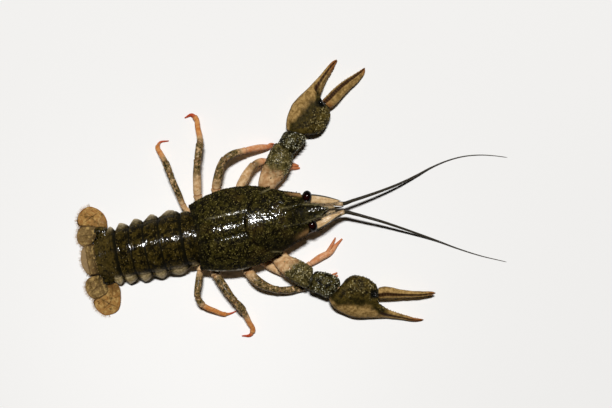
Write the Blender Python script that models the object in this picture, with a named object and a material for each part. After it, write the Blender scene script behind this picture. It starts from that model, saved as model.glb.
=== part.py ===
"""Narrow-clawed crayfish, life size, standing still on a flat floor with its claws spread.

Lengths are millimetres of the real animal and are turned to metres once, in closed_mesh().
+X runs forward along the back, +Y to the animal's left, +Z up. While the parts are drawn,
x = 0 is the rear edge of the carapace; the whole animal then hangs on an empty that puts
the middle of its outline over the scene's origin, with the feet on z = 0.
"""
import math

import bmesh
import bpy
import numpy as np

MM = 0.001
LEFT, RIGHT = 1, -1

# Driving sizes, in millimetres
GAP = 0.32                      # clearance between neighbouring solids
CARAPACE_FRONT = 51.0           # front face of the head, under the rostrum
ROSTRUM_TIP = 63.0
TAIL_RING_REAR = -49.9          # rear edge of the sixth tail segment
OUTLINE_MIDDLE = (46.9, 4.6)    # middle of the whole outline seen from above
SHELL_WIDEST_Z = 12.0           # level at which the carapace is widest
HIP_Z = 4.6                     # level of the leg joints beside the breastplate
COLLAR = 0.7                    # length of the narrowed end of a limb at a joint
JOINT_NECK = 0.78               # width of a limb at a joint over its width a collar away
RING_CLEAR = 1.05               # nearest that a further ring comes to an end with a collar
LOOK_AHEAD = 0.1                # half the stretch over which a limb's direction is read
LIMB_POWER = 2.3                # how full the section of a flat limb is; 2 is an ellipse
SPINE_ROOT = 0.9                # depth to which a spine is sunk in its shell
SPINE_TIP = 0.1                 # half width of a spine at its tip
SPINE_HEIGHTS = (0.75, 1.15)    # shortest and tallest spine of a row over the row's height
SAME_CORNER = 0.002             # corners of one form nearer than this are one corner
MERGE_AFTER_UNION = 0.01        # corners nearer than this are made one after a union
OFF_UPRIGHT = (0.3, 0.2, 1.0)   # a direction that no spine points in, to turn its section by

chance = np.random.default_rng(11)

for old in list(bpy.data.objects):
    bpy.data.objects.remove(old, do_unlink=True)

frame = bpy.data.objects.new("crayfish_frame", None)
frame.location = (-OUTLINE_MIDDLE[0] * MM, -OUTLINE_MIDDLE[1] * MM, 0.0)
bpy.context.scene.collection.objects.link(frame)


# Finishes of the shell

def finish(name, colour, roughness):
    """Plain shell or horn material."""
    material = bpy.data.materials.new(name)
    material.use_nodes = True
    shader = material.node_tree.nodes["Principled BSDF"]
    shader.inputs["Base Color"].default_value = (*colour, 1.0)
    shader.inputs["Roughness"].default_value = roughness
    shader.inputs["Metallic"].default_value = 0.0
    return material


BACK_SHELL = finish("back_shell", (0.035, 0.032, 0.012), 0.35)
BELLY_SHELL = finish("belly_shell", (0.42, 0.31, 0.20), 0.50)
CLAW_SHELL = finish("claw_shell", (0.12, 0.095, 0.035), 0.40)
LEG_SHELL = finish("leg_shell", (0.40, 0.24, 0.11), 0.45)
TAIL_SHELL = finish("tail_shell", (0.34, 0.21, 0.08), 0.42)
SCALE_SHELL = finish("scale_shell", (0.62, 0.44, 0.26), 0.45)
FEELER_HORN = finish("feeler_horn", (0.07, 0.045, 0.02), 0.50)
EYE_HORN = finish("eye_horn", (0.006, 0.004, 0.004), 0.08)


# Curves, rings and closed meshes

def through(keys, at, limited=True):
    """Smooth curve through rows of (position, values...), read at each position in `at`.

    Cubic pieces; limited=True keeps each value between its neighbouring keys.
    """
    keys = np.asarray(keys, float)
    place, rows = keys[:, 0], keys[:, 1:]
    steps = np.diff(place)[:, None]
    slopes = np.diff(rows, axis=0) / steps
    tangents = np.empty_like(rows)
    tangents[0], tangents[-1] = slopes[0], slopes[-1]
    before, after = slopes[:-1], slopes[1:]
    if limited:
        total = np.where(before + after == 0.0, 1.0, before + after)
        tangents[1:-1] = np.where(before * after > 0.0, 2.0 * before * after / total, 0.0)
    else:
        tangents[1:-1] = (before * steps[1:] + after * steps[:-1]) / (steps[1:] + steps[:-1])
    at = np.clip(np.asarray(at, float), place[0], place[-1])
    k = np.clip(np.searchsorted(place, at, side="right") - 1, 0, len(place) - 2)
    h = steps[k]
    u = (at - place[k])[:, None] / h
    return ((2 * u**3 - 3 * u**2 + 1) * rows[k] + (u**3 - 2 * u**2 + u) * h * tangents[k]
            + (3 * u**2 - 2 * u**3) * rows[k + 1] + (u**3 - u**2) * h * tangents[k + 1])


def at_x(keys, x):
    """One value of a profile given by rows of (x, value), at each x."""
    return through(keys, np.ravel(x))[:, 0].reshape(np.shape(x))


def stations(run, steps):
    """Every key position along a run, with each stretch between two keys cut in `steps`."""
    cuts = [np.linspace(a, b, steps, endpoint=False) for a, b in zip(run[:-1], run[1:])]
    return np.concatenate(cuts + [run[-1:]])


def collared(places, at_start, at_end):
    """Stations with one more a collar inside each end that asks for it, and none nearer."""
    first, last = places[0], places[-1]
    inner = places[(places > first + RING_CLEAR * at_start) & (places < last - RING_CLEAR * at_end)]
    return np.concatenate([[first], [first + COLLAR] * at_start, inner,
                           [last - COLLAR] * at_end, [last]])


def run_length(points):
    """Distance along a path from its first point to each point."""
    return np.concatenate([[0.0], np.cumsum(np.linalg.norm(np.diff(points, axis=0), axis=1))])


def oval(count, power):
    """Cosine-like and sine-like factors of a superellipse ring of `count` points."""
    angle = 2.0 * math.pi * np.arange(count) / count
    c, s = np.cos(angle), np.sin(angle)
    return np.sign(c) * np.abs(c) ** (2.0 / power), np.sign(s) * np.abs(s) ** (2.0 / power)


def closed_mesh(rings):
    """Closed mesh through rings of points: faces join ring to ring and a fan closes each end.

    What would dip below the floor is flattened on it.
    """
    rings = np.array(rings, float)
    rings[..., 2] = np.maximum(rings[..., 2], 0.0)
    count, sides = rings.shape[:2]
    centres = [rings[0].mean(axis=0), rings[-1].mean(axis=0)]
    points = np.concatenate([rings.reshape(-1, 3), centres]) * MM
    edge = np.arange(sides)
    following = (edge + 1) % sides
    here = np.arange(count - 1)[:, None] * sides + edge
    after = np.arange(count - 1)[:, None] * sides + following
    quads = np.stack([here, after, after + sides, here + sides], axis=-1).reshape(-1, 4)
    last = (count - 1) * sides
    first_fan = np.column_stack([following, edge, np.full(sides, count * sides)])
    last_fan = np.column_stack([edge + last, following + last, np.full(sides, count * sides + 1)])
    mesh = bpy.data.meshes.new("rings")
    mesh.from_pydata(points.tolist(), [], quads.tolist() + first_fan.tolist() + last_fan.tolist())
    work = bmesh.new()
    work.from_mesh(mesh)
    bmesh.ops.remove_doubles(work, verts=work.verts, dist=SAME_CORNER * MM)
    if work.calc_volume(signed=True) < 0.0:
        bmesh.ops.reverse_faces(work, faces=work.faces)
    work.to_mesh(mesh)
    work.free()
    return mesh


def add(name, mesh, material, sharp_degrees=50.0):
    """Named object of one closed mesh, hung on the frame."""
    mesh.name = name
    mesh.materials.clear()
    mesh.materials.append(material)
    mesh.shade_smooth()
    mesh.set_sharp_from_angle(angle=math.radians(sharp_degrees))
    part = bpy.data.objects.new(name, mesh)
    bpy.context.scene.collection.objects.link(part)
    part.parent = frame
    return part


def middle_run(keys):
    """Distance along the middle of a flat limb from its root to each key."""
    keys = np.array(keys, float)
    return run_length((keys[:, 0:2] + keys[:, 2:4]) / 2.0)


def sections(keys, places):
    """Middles of a flat limb at places along it, with the vectors to its first edge and top."""
    rows = through(np.column_stack([middle_run(keys), keys]), places)
    level = np.zeros(len(rows))
    middle = np.column_stack([(rows[:, 0:2] + rows[:, 2:4]) / 2.0, rows[:, 4]])
    reach = np.column_stack([(rows[:, 0:2] - rows[:, 2:4]) / 2.0, level])
    lift = np.column_stack([level, level, rows[:, 5]])
    return middle, reach, lift


def ribbon(keys, steps=2, sides=12, power=LIMB_POWER, blunt=(1.0, 1.0)):
    """Rings of a flat limb drawn by its two edges as seen from above.

    Each key is (edge x, edge y, other edge x, other edge y, middle z, half thickness).
    `blunt` is the size of the first and last ring over that of the limb a collar away.
    """
    places = collared(stations(middle_run(keys), steps), blunt[0] < 1.0, blunt[1] < 1.0)
    ratio = np.ones(len(places))
    ratio[0], ratio[-1] = blunt
    across, upward = oval(sides, power)
    middle, reach, lift = sections(keys, places)
    reach *= ratio[:, None]
    lift *= ratio[:, None]
    return (middle[:, None] + across[None, :, None] * reach[:, None]
            + upward[None, :, None] * lift[:, None])


def lengths(keys, cuts=(), steps=2, sides=8, power=2.0, tall=1.0):
    """Rings of each length of a round limb along a path that is parted at the keys in `cuts`.

    Each key is (x, y, z, half width); `tall` is the height of the section over its width.
    Both faces at a cut are square to the path there, a gap apart, and a little narrower.
    """
    keys = np.array(keys, float)
    run = run_length(keys[:, :3])
    path_keys = np.column_stack([run, keys[:, :3]])
    bounds = [0, *cuts, len(keys) - 1]
    across, upward = oval(sides, power)
    result = []
    for first, last in zip(bounds[:-1], bounds[1:]):
        parted = (first in cuts, last in cuts)
        places = stations(run[first:last + 1], steps)
        places[0] += GAP / 2.0 * parted[0]
        places[-1] -= GAP / 2.0 * parted[1]
        places = collared(places, *parted)
        facing = places.copy()
        facing[0], facing[-1] = run[first], run[last]
        ratio = np.ones(len(places))
        ratio[0], ratio[-1] = [JOINT_NECK if cut else 1.0 for cut in parted]
        path = through(path_keys, places, limited=False)
        ahead = (through(path_keys, facing + LOOK_AHEAD, limited=False)
                 - through(path_keys, facing - LOOK_AHEAD, limited=False))
        ahead /= np.linalg.norm(ahead, axis=1)[:, None]
        width = through(np.column_stack([run, keys[:, 3:4]]), places) * ratio[:, None]
        side = np.cross((0.0, 0.0, 1.0), ahead)
        side /= np.linalg.norm(side, axis=1)[:, None]
        above = np.cross(ahead, side)
        result.append(path[:, None] + across[None, :, None] * (side * width)[:, None]
                      + upward[None, :, None] * (above * width * tall)[:, None])
    return result


def tube(keys, **shape):
    """Rings of a round limb in one length."""
    return lengths(keys, **shape)[0]


def unit(vectors):
    """Each vector with its length made 1."""
    vectors = np.asarray(vectors, float)
    return vectors / np.linalg.norm(vectors, axis=-1, keepdims=True)


def spine(root, tip, width, sides=5):
    """Closed cone from a root, which is sunk in the shell that carries it, to a tip."""
    root, tip = np.array(root, float), np.array(tip, float)
    side = unit(np.cross(tip - root, OFF_UPRIGHT))
    above = unit(np.cross(tip - root, side))
    across, upward = oval(sides, 2.0)
    rim = across[:, None] * side + upward[:, None] * above
    return closed_mesh([root + rim * width, tip + rim * SPINE_TIP])


def spine_rows(keys, rows):
    """Spines, knobs or teeth in rows along a flat limb, a little uneven as they grow.

    Each row is (first and last place as shares of the limb's length, count, turn in degrees
    from the first edge over the top, height, half width at the root, lean to the limb's tip).
    """
    spines = []
    for first, last, count, turn, height, width, lean in rows:
        places = np.linspace(first, last, count) * middle_run(keys)[-1]
        middle, reach, lift = sections(keys, places)
        ahead = unit(sections(keys, places + LOOK_AHEAD)[0] - sections(keys, places - LOOK_AHEAD)[0])
        c, s = math.cos(math.radians(turn)), math.sin(math.radians(turn))
        skin = (middle + math.copysign(abs(c) ** (2.0 / LIMB_POWER), c) * reach
                + math.copysign(abs(s) ** (2.0 / LIMB_POWER), s) * lift)
        outward = unit(c * reach / np.sum(reach**2, axis=1, keepdims=True)
                       + s * lift / np.sum(lift**2, axis=1, keepdims=True))
        heights = height * chance.uniform(*SPINE_HEIGHTS, (count, 1))
        roots = skin - outward * SPINE_ROOT
        tips = skin + (outward + ahead * lean) * heights
        spines += [spine(root, tip, width, sides=4) for root, tip in zip(roots, tips)]
    return spines


def fuse(base, pieces):
    """Base mesh with every piece joined to it by one union, less any loose scrap."""
    group = bpy.data.collections.new("pieces")
    bpy.context.scene.collection.children.link(group)
    body = bpy.data.objects.new("body", base)
    bpy.context.scene.collection.objects.link(body)
    for piece in pieces:
        group.objects.link(bpy.data.objects.new("piece", piece))
    union = body.modifiers.new("union", "BOOLEAN")
    union.operation = "UNION"
    union.operand_type = "COLLECTION"
    union.collection = group
    union.solver = "EXACT"
    graph = bpy.context.evaluated_depsgraph_get()
    joined = bpy.data.meshes.new_from_object(body.evaluated_get(graph))
    for piece in [*group.objects, body]:
        bpy.data.objects.remove(piece, do_unlink=True)
    bpy.data.collections.remove(group)
    return largest_surface(joined)


def largest_surface(mesh):
    """The mesh with only its largest closed surface kept, and no sliver left by the union."""
    work = bmesh.new()
    work.from_mesh(mesh)
    bmesh.ops.remove_doubles(work, verts=work.verts, dist=MERGE_AFTER_UNION * MM)
    bmesh.ops.triangulate(work, faces=work.faces)
    bmesh.ops.dissolve_degenerate(work, edges=work.edges, dist=MERGE_AFTER_UNION * MM)
    unseen = set(work.faces)
    surfaces = []
    while unseen:
        surface, edge_of_search = set(), [next(iter(unseen))]
        while edge_of_search:
            face = edge_of_search.pop()
            if face in unseen:
                unseen.discard(face)
                surface.add(face)
                edge_of_search.extend(f for edge in face.edges for f in edge.link_faces)
        surfaces.append(surface)
    kept = max(surfaces, key=len)
    bmesh.ops.delete(work, geom=[f for f in work.faces if f not in kept], context="FACES")
    bmesh.ops.delete(work, geom=[v for v in work.verts if not v.link_faces], context="VERTS")
    work.to_mesh(mesh)
    work.free()
    return mesh


# Body axis: it bends slightly to the right towards the tail

def midline(x):
    """Sideways place of the body's middle plane at x."""
    return -1.3 + 0.029 * x - 0.000133 * x**2


# Carapace: two plates that meet at the neck groove, with the rostrum on the front one

SHELL_HALF_WIDTH = [(-2, 15.0), (0, 15.7), (8, 18.1), (17, 19.3), (28, 18.3), (38, 15.0),
                    (46, 12.0), (51, 10.3)]
SHELL_TOP = [(-2, 21.0), (0, 21.4), (10, 24.2), (21, 25.8), (31, 25.4), (41, 23.4), (51, 20.2)]
SHELL_BOTTOM = [(-2, 8.0), (5, 7.2), (38, 7.2), (51, 10.6)]
SHELL_SIDES = 32
NECK_GAP = 0.5                  # wider than GAP along x because the groove runs slanting
PLATE_EDGE = 0.45               # how far a plate's rim is rounded off


def neck_groove(angle):
    """x of the neck groove round the shell: 0 at the top, pi/2 at the widest level."""
    turn = np.clip(angle / (math.pi / 2.0), 0.0, 1.0)
    return 23.5 + 14.5 * turn**2 * (3.0 - 2.0 * turn)


def rear_rim(angle):
    """x of the carapace's hollow rear edge, which reaches back at the sides."""
    return -1.6 * np.sin(np.clip(angle, 0.0, math.pi / 2.0)) ** 2


def shell_point(x, turn, inset=0.0):
    """Point of the carapace's outer face at x and a turn from the top, -pi to pi."""
    half = at_x(SHELL_HALF_WIDTH, x) - inset
    upper = at_x(SHELL_TOP, x) - inset - SHELL_WIDEST_Z
    lower = SHELL_WIDEST_Z - at_x(SHELL_BOTTOM, x) - inset
    c, s = np.cos(turn), np.sin(turn)
    power = np.where(c > 0.0, 2.15, 2.4)
    y = midline(x) + np.sign(s) * np.abs(s) ** (2.0 / power) * half
    z = SHELL_WIDEST_Z + np.sign(c) * np.abs(c) ** (2.0 / power) * np.where(c > 0.0, upper, lower)
    return np.stack([x, y, z], axis=-1)


def shell_plate(rear, front):
    """Rings of the carapace between two edges, each a function of the turn from the top."""
    turn = math.pi * (2.0 * np.arange(SHELL_SIDES) / SHELL_SIDES - 1.0)
    start, end = rear(np.abs(turn)), front(np.abs(turn))
    rings = []
    for cut in (0.0, 0.03, 0.15, 0.3, 0.45, 0.6, 0.75, 0.88, 0.97, 1.0):
        inset = PLATE_EDGE if cut in (0.0, 1.0) else 0.0
        rings.append(shell_point(start + (end - start) * cut, turn, inset))
    return rings


def shell_spine(x, turn, height, width, lean):
    """Spine that stands on the carapace and leans forward by `lean` times its height."""
    skin = shell_point(x, turn)
    outward = unit(np.cross(shell_point(x + 0.1, turn) - skin, shell_point(x, turn + 0.01) - skin))
    outward *= math.copysign(1.0, outward[1] * turn)
    return spine(skin - outward * SPINE_ROOT, skin + (outward + (lean, 0.0, 0.0)) * height, width)


def shell_ridge(first, last, turn):
    """Low ridge along the carapace that ends in a forward spine."""
    path = [(*shell_point(first + (last - first) * share, turn), half)
            for share, half in ((0.0, 0.2), (0.5, 0.55), (1.0, 0.5))]
    return [closed_mesh(tube(path, steps=1, sides=5)), shell_spine(last - 0.3, turn, 0.8, 0.55, 1.8)]


# turn from the top, height and half width of the spines on each shoulder, behind the groove
SHOULDER_SPINES = [(0.95, 0.8, 0.5), (1.13, 1.0, 0.6), (1.30, 1.2, 0.65), (1.47, 1.3, 0.7)]
BEHIND_GROOVE = 1.9
thorax = closed_mesh(shell_plate(rear_rim, lambda turn: neck_groove(turn) - NECK_GAP / 2.0))
add("carapace_thorax", fuse(thorax, [
    shell_spine(neck_groove(turn) - BEHIND_GROOVE, side * turn, height, width, 0.5)
    for side in (LEFT, RIGHT) for turn, height, width in SHOULDER_SPINES]), BACK_SHELL)

# x, half width, height of the middle, half thickness; the first rows are sunk in the head
ROSTRUM_KEYS = [(40.0, 4.2, 20.6, 1.2), (47.0, 5.1, 20.3, 1.5), (51.4, 4.9, 19.6, 1.5),
                (54.0, 4.3, 19.2, 1.4), (57.0, 3.7, 18.9, 1.25), (59.0, 2.6, 18.8, 1.1),
                (61.0, 1.1, 18.9, 0.8), (ROSTRUM_TIP, 0.3, 19.3, 0.3)]
ROSTRUM_SHIFT = 0.5             # the rostrum points a little to the left
# x, distance from the rostrum's middle, height, half width of its raised margins
MARGIN_KEYS = [(41.5, 3.9, 22.8, 0.35), (45.5, 4.4, 21.5, 0.55), (50.0, 4.4, 20.7, 0.6),
               (54.0, 3.8, 20.2, 0.55), (57.8, 3.0, 19.8, 0.45)]
rostrum_edges = [(x, midline(x) + half + ROSTRUM_SHIFT, x, midline(x) - half + ROSTRUM_SHIFT,
                  z, thick) for x, half, z, thick in ROSTRUM_KEYS]
head = closed_mesh(shell_plate(lambda turn: neck_groove(turn) + NECK_GAP / 2.0,
                               lambda turn: np.full_like(turn, CARAPACE_FRONT)))
head_forms = [closed_mesh(ribbon(rostrum_edges))]
for side in (LEFT, RIGHT):
    margin = [(x, midline(x) + ROSTRUM_SHIFT + side * away, z, half)
              for x, away, z, half in MARGIN_KEYS]
    head_forms.append(closed_mesh(tube(margin, steps=1, sides=6)))
    beside = midline(57.0) + ROSTRUM_SHIFT
    head_forms.append(spine((56.4, beside + side * 2.8, 19.6), (60.2, beside + side * 3.2, 20.1), 0.6))
    head_forms += shell_ridge(40.5, 47.6, side * 0.60)
    head_forms += shell_ridge(32.5, 37.0, side * 0.66)
    head_forms += [shell_spine(x, side * 1.35, 0.6, 0.5, 0.6) for x in (41.0, 44.0, 47.0)]
add("carapace_head", fuse(head, head_forms), BACK_SHELL)


# Breastplate under the thorax, between the legs

# x, half width, lower and upper level
STERNUM_KEYS = [(3.0, 4.6, 3.4, 6.4), (10.0, 6.2, 2.9, 6.85), (20.0, 6.4, 2.6, 6.85),
                (31.0, 6.0, 2.6, 6.85), (35.2, 4.6, 3.0, 6.85)]
sternum_edges = [(x, midline(x) + half, x, midline(x) - half, (low + high) / 2, (high - low) / 2)
                 for x, half, low, high in STERNUM_KEYS]
add("sternum", closed_mesh(ribbon(sternum_edges, power=3.0)), BELLY_SHELL)


# Tail: six ring segments whose side flaps end in points, then the fan

TAIL_HALF_WIDTH = [(-50, 8.6), (-48, 9.8), (-44, 11.2), (-38, 11.9), (-25, 13.0), (-10, 13.5),
                   (0, 13.0)]
TAIL_TOP = [(-50, 7.4), (-45, 11.2), (-38, 15.0), (-30, 17.8), (-20, 20.0), (-10, 21.2),
            (0, 20.8)]
TAIL_HINGE = [(-50, 3.6), (-38, 7.6), (-20, 9.2), (0, 9.6)]
TAIL_BELLY = [(-50, 1.6), (-38, 5.8), (-20, 7.4), (0, 8.0)]
FLAP_THICKNESS = 1.1
TUCKED_SHARE = 0.24             # front share of a segment that slides under the one ahead
TUCK = 0.055                    # how much narrower a segment is at its front edge
TUCK_DROP = 10.0                # how far its top drops there, over TUCK
ARCH_REACH = 84.0               # degrees that a segment's arch spans to each side of the top
ARCH_POINTS = 11
ARCH_POWER = 0.93               # below 1 the arch is fuller than an ellipse

# front x, rear x, x of the flap's point, rear x of the flap, half width at the point, and
# how low the point reaches
SEGMENTS = [(-1.9, -6.0, -4.2, -6.0, 12.9, 8.2), (-6.3, -16.6, -12.4, -16.6, 15.6, 3.4),
            (-16.9, -24.2, -20.9, -24.2, 15.4, 3.4), (-24.5, -31.2, -28.6, -31.2, 14.9, 3.4),
            (-31.5, -38.2, -35.9, -38.2, 14.4, 3.2),
            (-38.5, TAIL_RING_REAR, -40.9, -42.5, 14.0, 3.0)]


def segment_rings(front, rear, tip, flap_rear, reach, low):
    """Rings of one tail segment, front to rear."""
    length = front - rear
    at_tip = (front - tip) / length
    beside_tip = [at_tip - 0.12, at_tip, at_tip + 0.14]
    cuts = [0.0, TUCKED_SHARE / 2.0, TUCKED_SHARE, *beside_tip, 0.9, 1.0]
    rings = []
    for cut in sorted(set(cuts)):
        x = front - length * cut
        tucked = TUCK * max(0.0, 1.0 - cut / TUCKED_SHARE)
        half = at_x(TAIL_HALF_WIDTH, x) * (1.0 - tucked)
        hinge, belly = at_x(TAIL_HINGE, x), at_x(TAIL_BELLY, x)
        top = at_x(TAIL_TOP, x) - TUCK_DROP * tucked
        span = (front - tip) if x > tip else (tip - flap_rear)
        away = min(1.0, abs(x - tip) / span)
        depth = 1.0 - 0.9 * away**1.5
        flap_y = half + max(0.3, reach - at_x(TAIL_HALF_WIDTH, tip)) * depth
        flap_z = hinge - (at_x(TAIL_HINGE, tip) - low) * depth
        arch = np.radians(np.linspace(-ARCH_REACH, ARCH_REACH, ARCH_POINTS))
        arch_y = half * np.sin(arch)
        arch_z = hinge + (top - hinge) * np.cos(arch) ** ARCH_POWER
        flap = [((half + flap_y) / 2.0 + 0.35, (hinge + flap_z) / 2.0), (flap_y, flap_z),
                (flap_y - FLAP_THICKNESS, flap_z + 0.1),
                (half - FLAP_THICKNESS - 0.6, (belly + flap_z) / 2.0 + 0.6),
                (half - 2.6, belly)]
        other_flap = [(-y, z) for y, z in reversed(flap)]
        ring = other_flap + list(zip(arch_y, arch_z)) + flap + [(0.0, belly)]
        rings.append([(x, midline(x) + y, z) for y, z in ring])
    return rings


SWIMMERET_OUT = 5.6             # root from the midline
SWIMMERET_TIP_Z = 2.4
SWIMMERET_SEGMENTS = range(2, 6)


def swimmeret(x, side):
    """Two soft leaves that hang from one root under a tail segment."""
    def leaf(back, out, drop, half):
        """One point of a leaf: how far behind, outside and below the root, and its half width."""
        return (x - back, midline(x) + side * (SWIMMERET_OUT + out), at_x(TAIL_BELLY, x) - drop, half)

    floor_drop = at_x(TAIL_BELLY, x) - SWIMMERET_TIP_Z
    leaves = []
    for out in (0.9, -1.5):
        path = [leaf(0.0, 0.0, -0.8, 0.8), leaf(1.3, out, 0.45 * floor_drop, 1.15),
                leaf(2.6, 1.5 * out, floor_drop, 0.5)]
        leaves.append(closed_mesh(tube(path, steps=1, sides=4, tall=0.5)))
    return leaves


for number, sizes in enumerate(SEGMENTS, start=1):
    ring = closed_mesh(segment_rings(*sizes))
    if number in SWIMMERET_SEGMENTS:
        root_x = (sizes[0] + sizes[1]) / 2.0 + 1.0
        ring = fuse(ring, swimmeret(root_x, LEFT) + swimmeret(root_x, RIGHT))
    add(f"abdomen_{number}", ring, BACK_SHELL)

# edge x, y, other edge x, y, middle z, half thickness, from the root to the rim
TELSON = [(-50.3, -10.2, -50.3, 4.5, 4.4, 2.2), (-53.0, -10.4, -53.0, 4.5, 3.0, 1.6),
          (-55.3, -10.2, -55.3, 4.1, 1.9, 1.1), (-57.0, -9.0, -57.2, 2.8, 1.0, 0.8),
          (-58.2, -6.8, -58.2, 0.8, 0.5, 0.65), (-58.8, -4.6, -58.8, -1.6, 0.4, 0.5)]
UROPODS = {
    "uropod_inner_left": [
        (-50.7, 5.7, -49.0, 7.3, 3.6, 1.3), (-51.6, 5.2, -48.9, 10.4, 3.1, 1.1),
        (-53.5, 5.0, -51.2, 12.5, 2.4, 0.9), (-56.2, 4.9, -55.2, 13.1, 1.4, 0.75),
        (-57.9, 5.7, -57.4, 12.3, 0.6, 0.6), (-59.1, 7.6, -58.7, 10.8, 0.35, 0.45)],
    "uropod_outer_left": [
        (-47.9, 7.5, -44.2, 9.1, 3.9, 1.5), (-48.2, 11.3, -43.1, 11.6, 3.2, 1.2),
        (-50.6, 13.1, -42.9, 14.3, 2.4, 1.0), (-54.0, 13.7, -43.6, 17.2, 1.7, 0.85),
        (-56.4, 14.2, -45.5, 19.8, 1.1, 0.7), (-57.2, 15.7, -47.7, 21.5, 0.7, 0.6),
        (-56.8, 18.0, -50.4, 22.5, 0.45, 0.5), (-55.4, 20.3, -53.2, 21.9, 0.32, 0.4)],
    "uropod_inner_right": [
        (-50.7, -11.8, -49.0, -13.6, 3.6, 1.3), (-51.8, -11.1, -48.9, -17.2, 3.1, 1.1),
        (-54.7, -11.0, -50.2, -20.0, 2.3, 0.9), (-57.2, -11.8, -52.3, -21.6, 1.5, 0.8),
        (-58.6, -13.8, -54.6, -22.2, 0.8, 0.65), (-59.1, -16.0, -56.7, -21.3, 0.42, 0.5),
        (-59.0, -17.6, -58.1, -19.8, 0.35, 0.45)],
    "uropod_outer_right": [
        (-48.1, -13.9, -44.1, -15.3, 3.9, 1.5), (-48.2, -17.6, -42.5, -18.8, 3.2, 1.2),
        (-49.7, -20.5, -43.0, -23.0, 2.4, 1.0), (-51.8, -22.2, -44.3, -27.2, 1.6, 0.85),
        (-54.3, -22.8, -45.8, -29.3, 1.0, 0.7), (-56.3, -23.5, -48.3, -30.4, 0.6, 0.6),
        (-56.2, -25.8, -51.4, -30.6, 0.42, 0.5), (-55.2, -27.8, -53.6, -29.6, 0.32, 0.4)],
}
# root and tip of the spines at the telson's suture
TELSON_SPINES = [((-54.4, 3.6, 2.2), (-56.7, 4.2, 1.9)), ((-55.0, 2.6, 2.1), (-57.4, 3.1, 1.7)),
                 ((-54.4, -9.7, 2.2), (-56.7, -10.3, 1.9)), ((-55.0, -8.7, 2.1), (-57.4, -9.3, 1.7))]


RIDGE_LEVEL = 0.8               # level of a ridge's middle over the blade's half thickness


def fan_ridge(keys, shares, across, half):
    """Raised line on a tail fan blade, at shares of its length and of its half breadth."""
    middle, reach, lift = sections(keys, np.array(shares) * middle_run(keys)[-1])
    path = middle + reach * np.reshape(across, (-1, 1)) + lift * RIDGE_LEVEL
    return closed_mesh(tube(np.column_stack([path, half]), steps=1, sides=5))


add("telson", fuse(closed_mesh(ribbon(TELSON, sides=14, power=2.6)),
                   [spine(root, tip, 0.45) for root, tip in TELSON_SPINES]), TAIL_SHELL)
for name, keys in UROPODS.items():
    forms = [fan_ridge(keys, (0.08, 0.3, 0.55, 0.78), (0.0, 0.0, 0.0, 0.0), (0.5, 0.5, 0.4, 0.25))]
    if "outer" in name:
        forms.append(fan_ridge(keys, (0.60, 0.64, 0.60), (0.85, 0.0, -0.85), (0.25, 0.3, 0.3)))
    blade = ribbon(keys, steps=1 if "outer" in name else 2, power=2.6)
    add(name, fuse(closed_mesh(blade), forms), TAIL_SHELL)


# Eyes on short stalks below the rostrum's edges

side_name = {LEFT: "left", RIGHT: "right"}
# middle of the eye and the heading of its stalk, in degrees from straight ahead
EYES = {LEFT: ((54.3, 7.8, 16.4), 70.0), RIGHT: ((54.4, -6.5, 16.4), -75.0)}
EYE_HALF_LENGTH, EYE_HALF_WIDTH = 2.9, 2.15
STALK = [(-5.6, 1.1), (-4.4, 1.3), (-EYE_HALF_LENGTH - GAP, 1.5)]   # along the heading, half width
STALK_DROP = 0.5

for side, (centre, heading) in EYES.items():
    heading = math.radians(heading)
    ahead = np.array([math.cos(heading), math.sin(heading), 0.0])
    bend = np.radians(np.linspace(-78.0, 78.0, 9))
    ball = [(*(np.array(centre) + ahead * math.sin(b) * EYE_HALF_LENGTH),
             math.cos(b) * EYE_HALF_WIDTH) for b in bend]
    add(f"eye_{side_name[side]}", closed_mesh(tube(ball, steps=1, sides=12)), EYE_HORN)
    stalk = [(*(np.array(centre) + ahead * reach - (0.0, 0.0, STALK_DROP)), half)
             for reach, half in STALK]
    add(f"eyestalk_{side_name[side]}", closed_mesh(tube(stalk, steps=2)), LEG_SHELL)


# Antennae: stout base, flat scale above it, and the long whip in two lengths

# x, y, z, half width, from the head outwards; ANTENNA_CUTS are the keys where a length ends
ANTENNAE = {
    LEFT: [(51.9, 6.8, 10.6, 2.4), (55.0, 6.1, 10.6, 2.4), (60.0, 4.4, 10.9, 2.0),
           (64.5, 2.9, 11.0, 1.6), (67.5, 2.05, 11.0, 1.2), (70.2, 1.4, 11.0, 1.0),
           (75.0, 2.0, 10.5, 0.82), (82.0, 2.9, 9.2, 0.75), (90.0, 4.1, 7.2, 0.68),
           (100.0, 6.1, 4.6, 0.6), (108.0, 8.3, 2.4, 0.52), (116.0, 10.8, 0.8, 0.46),
           (124.0, 12.5, 0.40, 0.42), (131.0, 13.1, 0.36, 0.38), (140.0, 12.3, 0.32, 0.34),
           (147.0, 10.6, 0.28, 0.3), (152.8, 8.7, 0.24, 0.26)],
    RIGHT: [(51.9, -7.2, 10.6, 2.4), (55.0, -6.7, 10.6, 2.4), (60.0, -5.2, 10.9, 2.0),
            (64.5, -3.9, 11.0, 1.6), (67.5, -3.1, 11.0, 1.35), (70.2, -2.7, 11.0, 1.05),
            (75.0, -4.5, 10.5, 0.82), (80.0, -6.9, 9.6, 0.75), (87.0, -10.4, 7.9, 0.68),
            (95.0, -14.8, 5.6, 0.62), (104.0, -19.9, 3.0, 0.54), (112.0, -24.6, 1.0, 0.48),
            (120.0, -29.5, 0.40, 0.42), (130.5, -35.2, 0.34, 0.36), (143.2, -40.9, 0.24, 0.26)]}
ANTENNA_CUTS = (5, 10)
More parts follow.
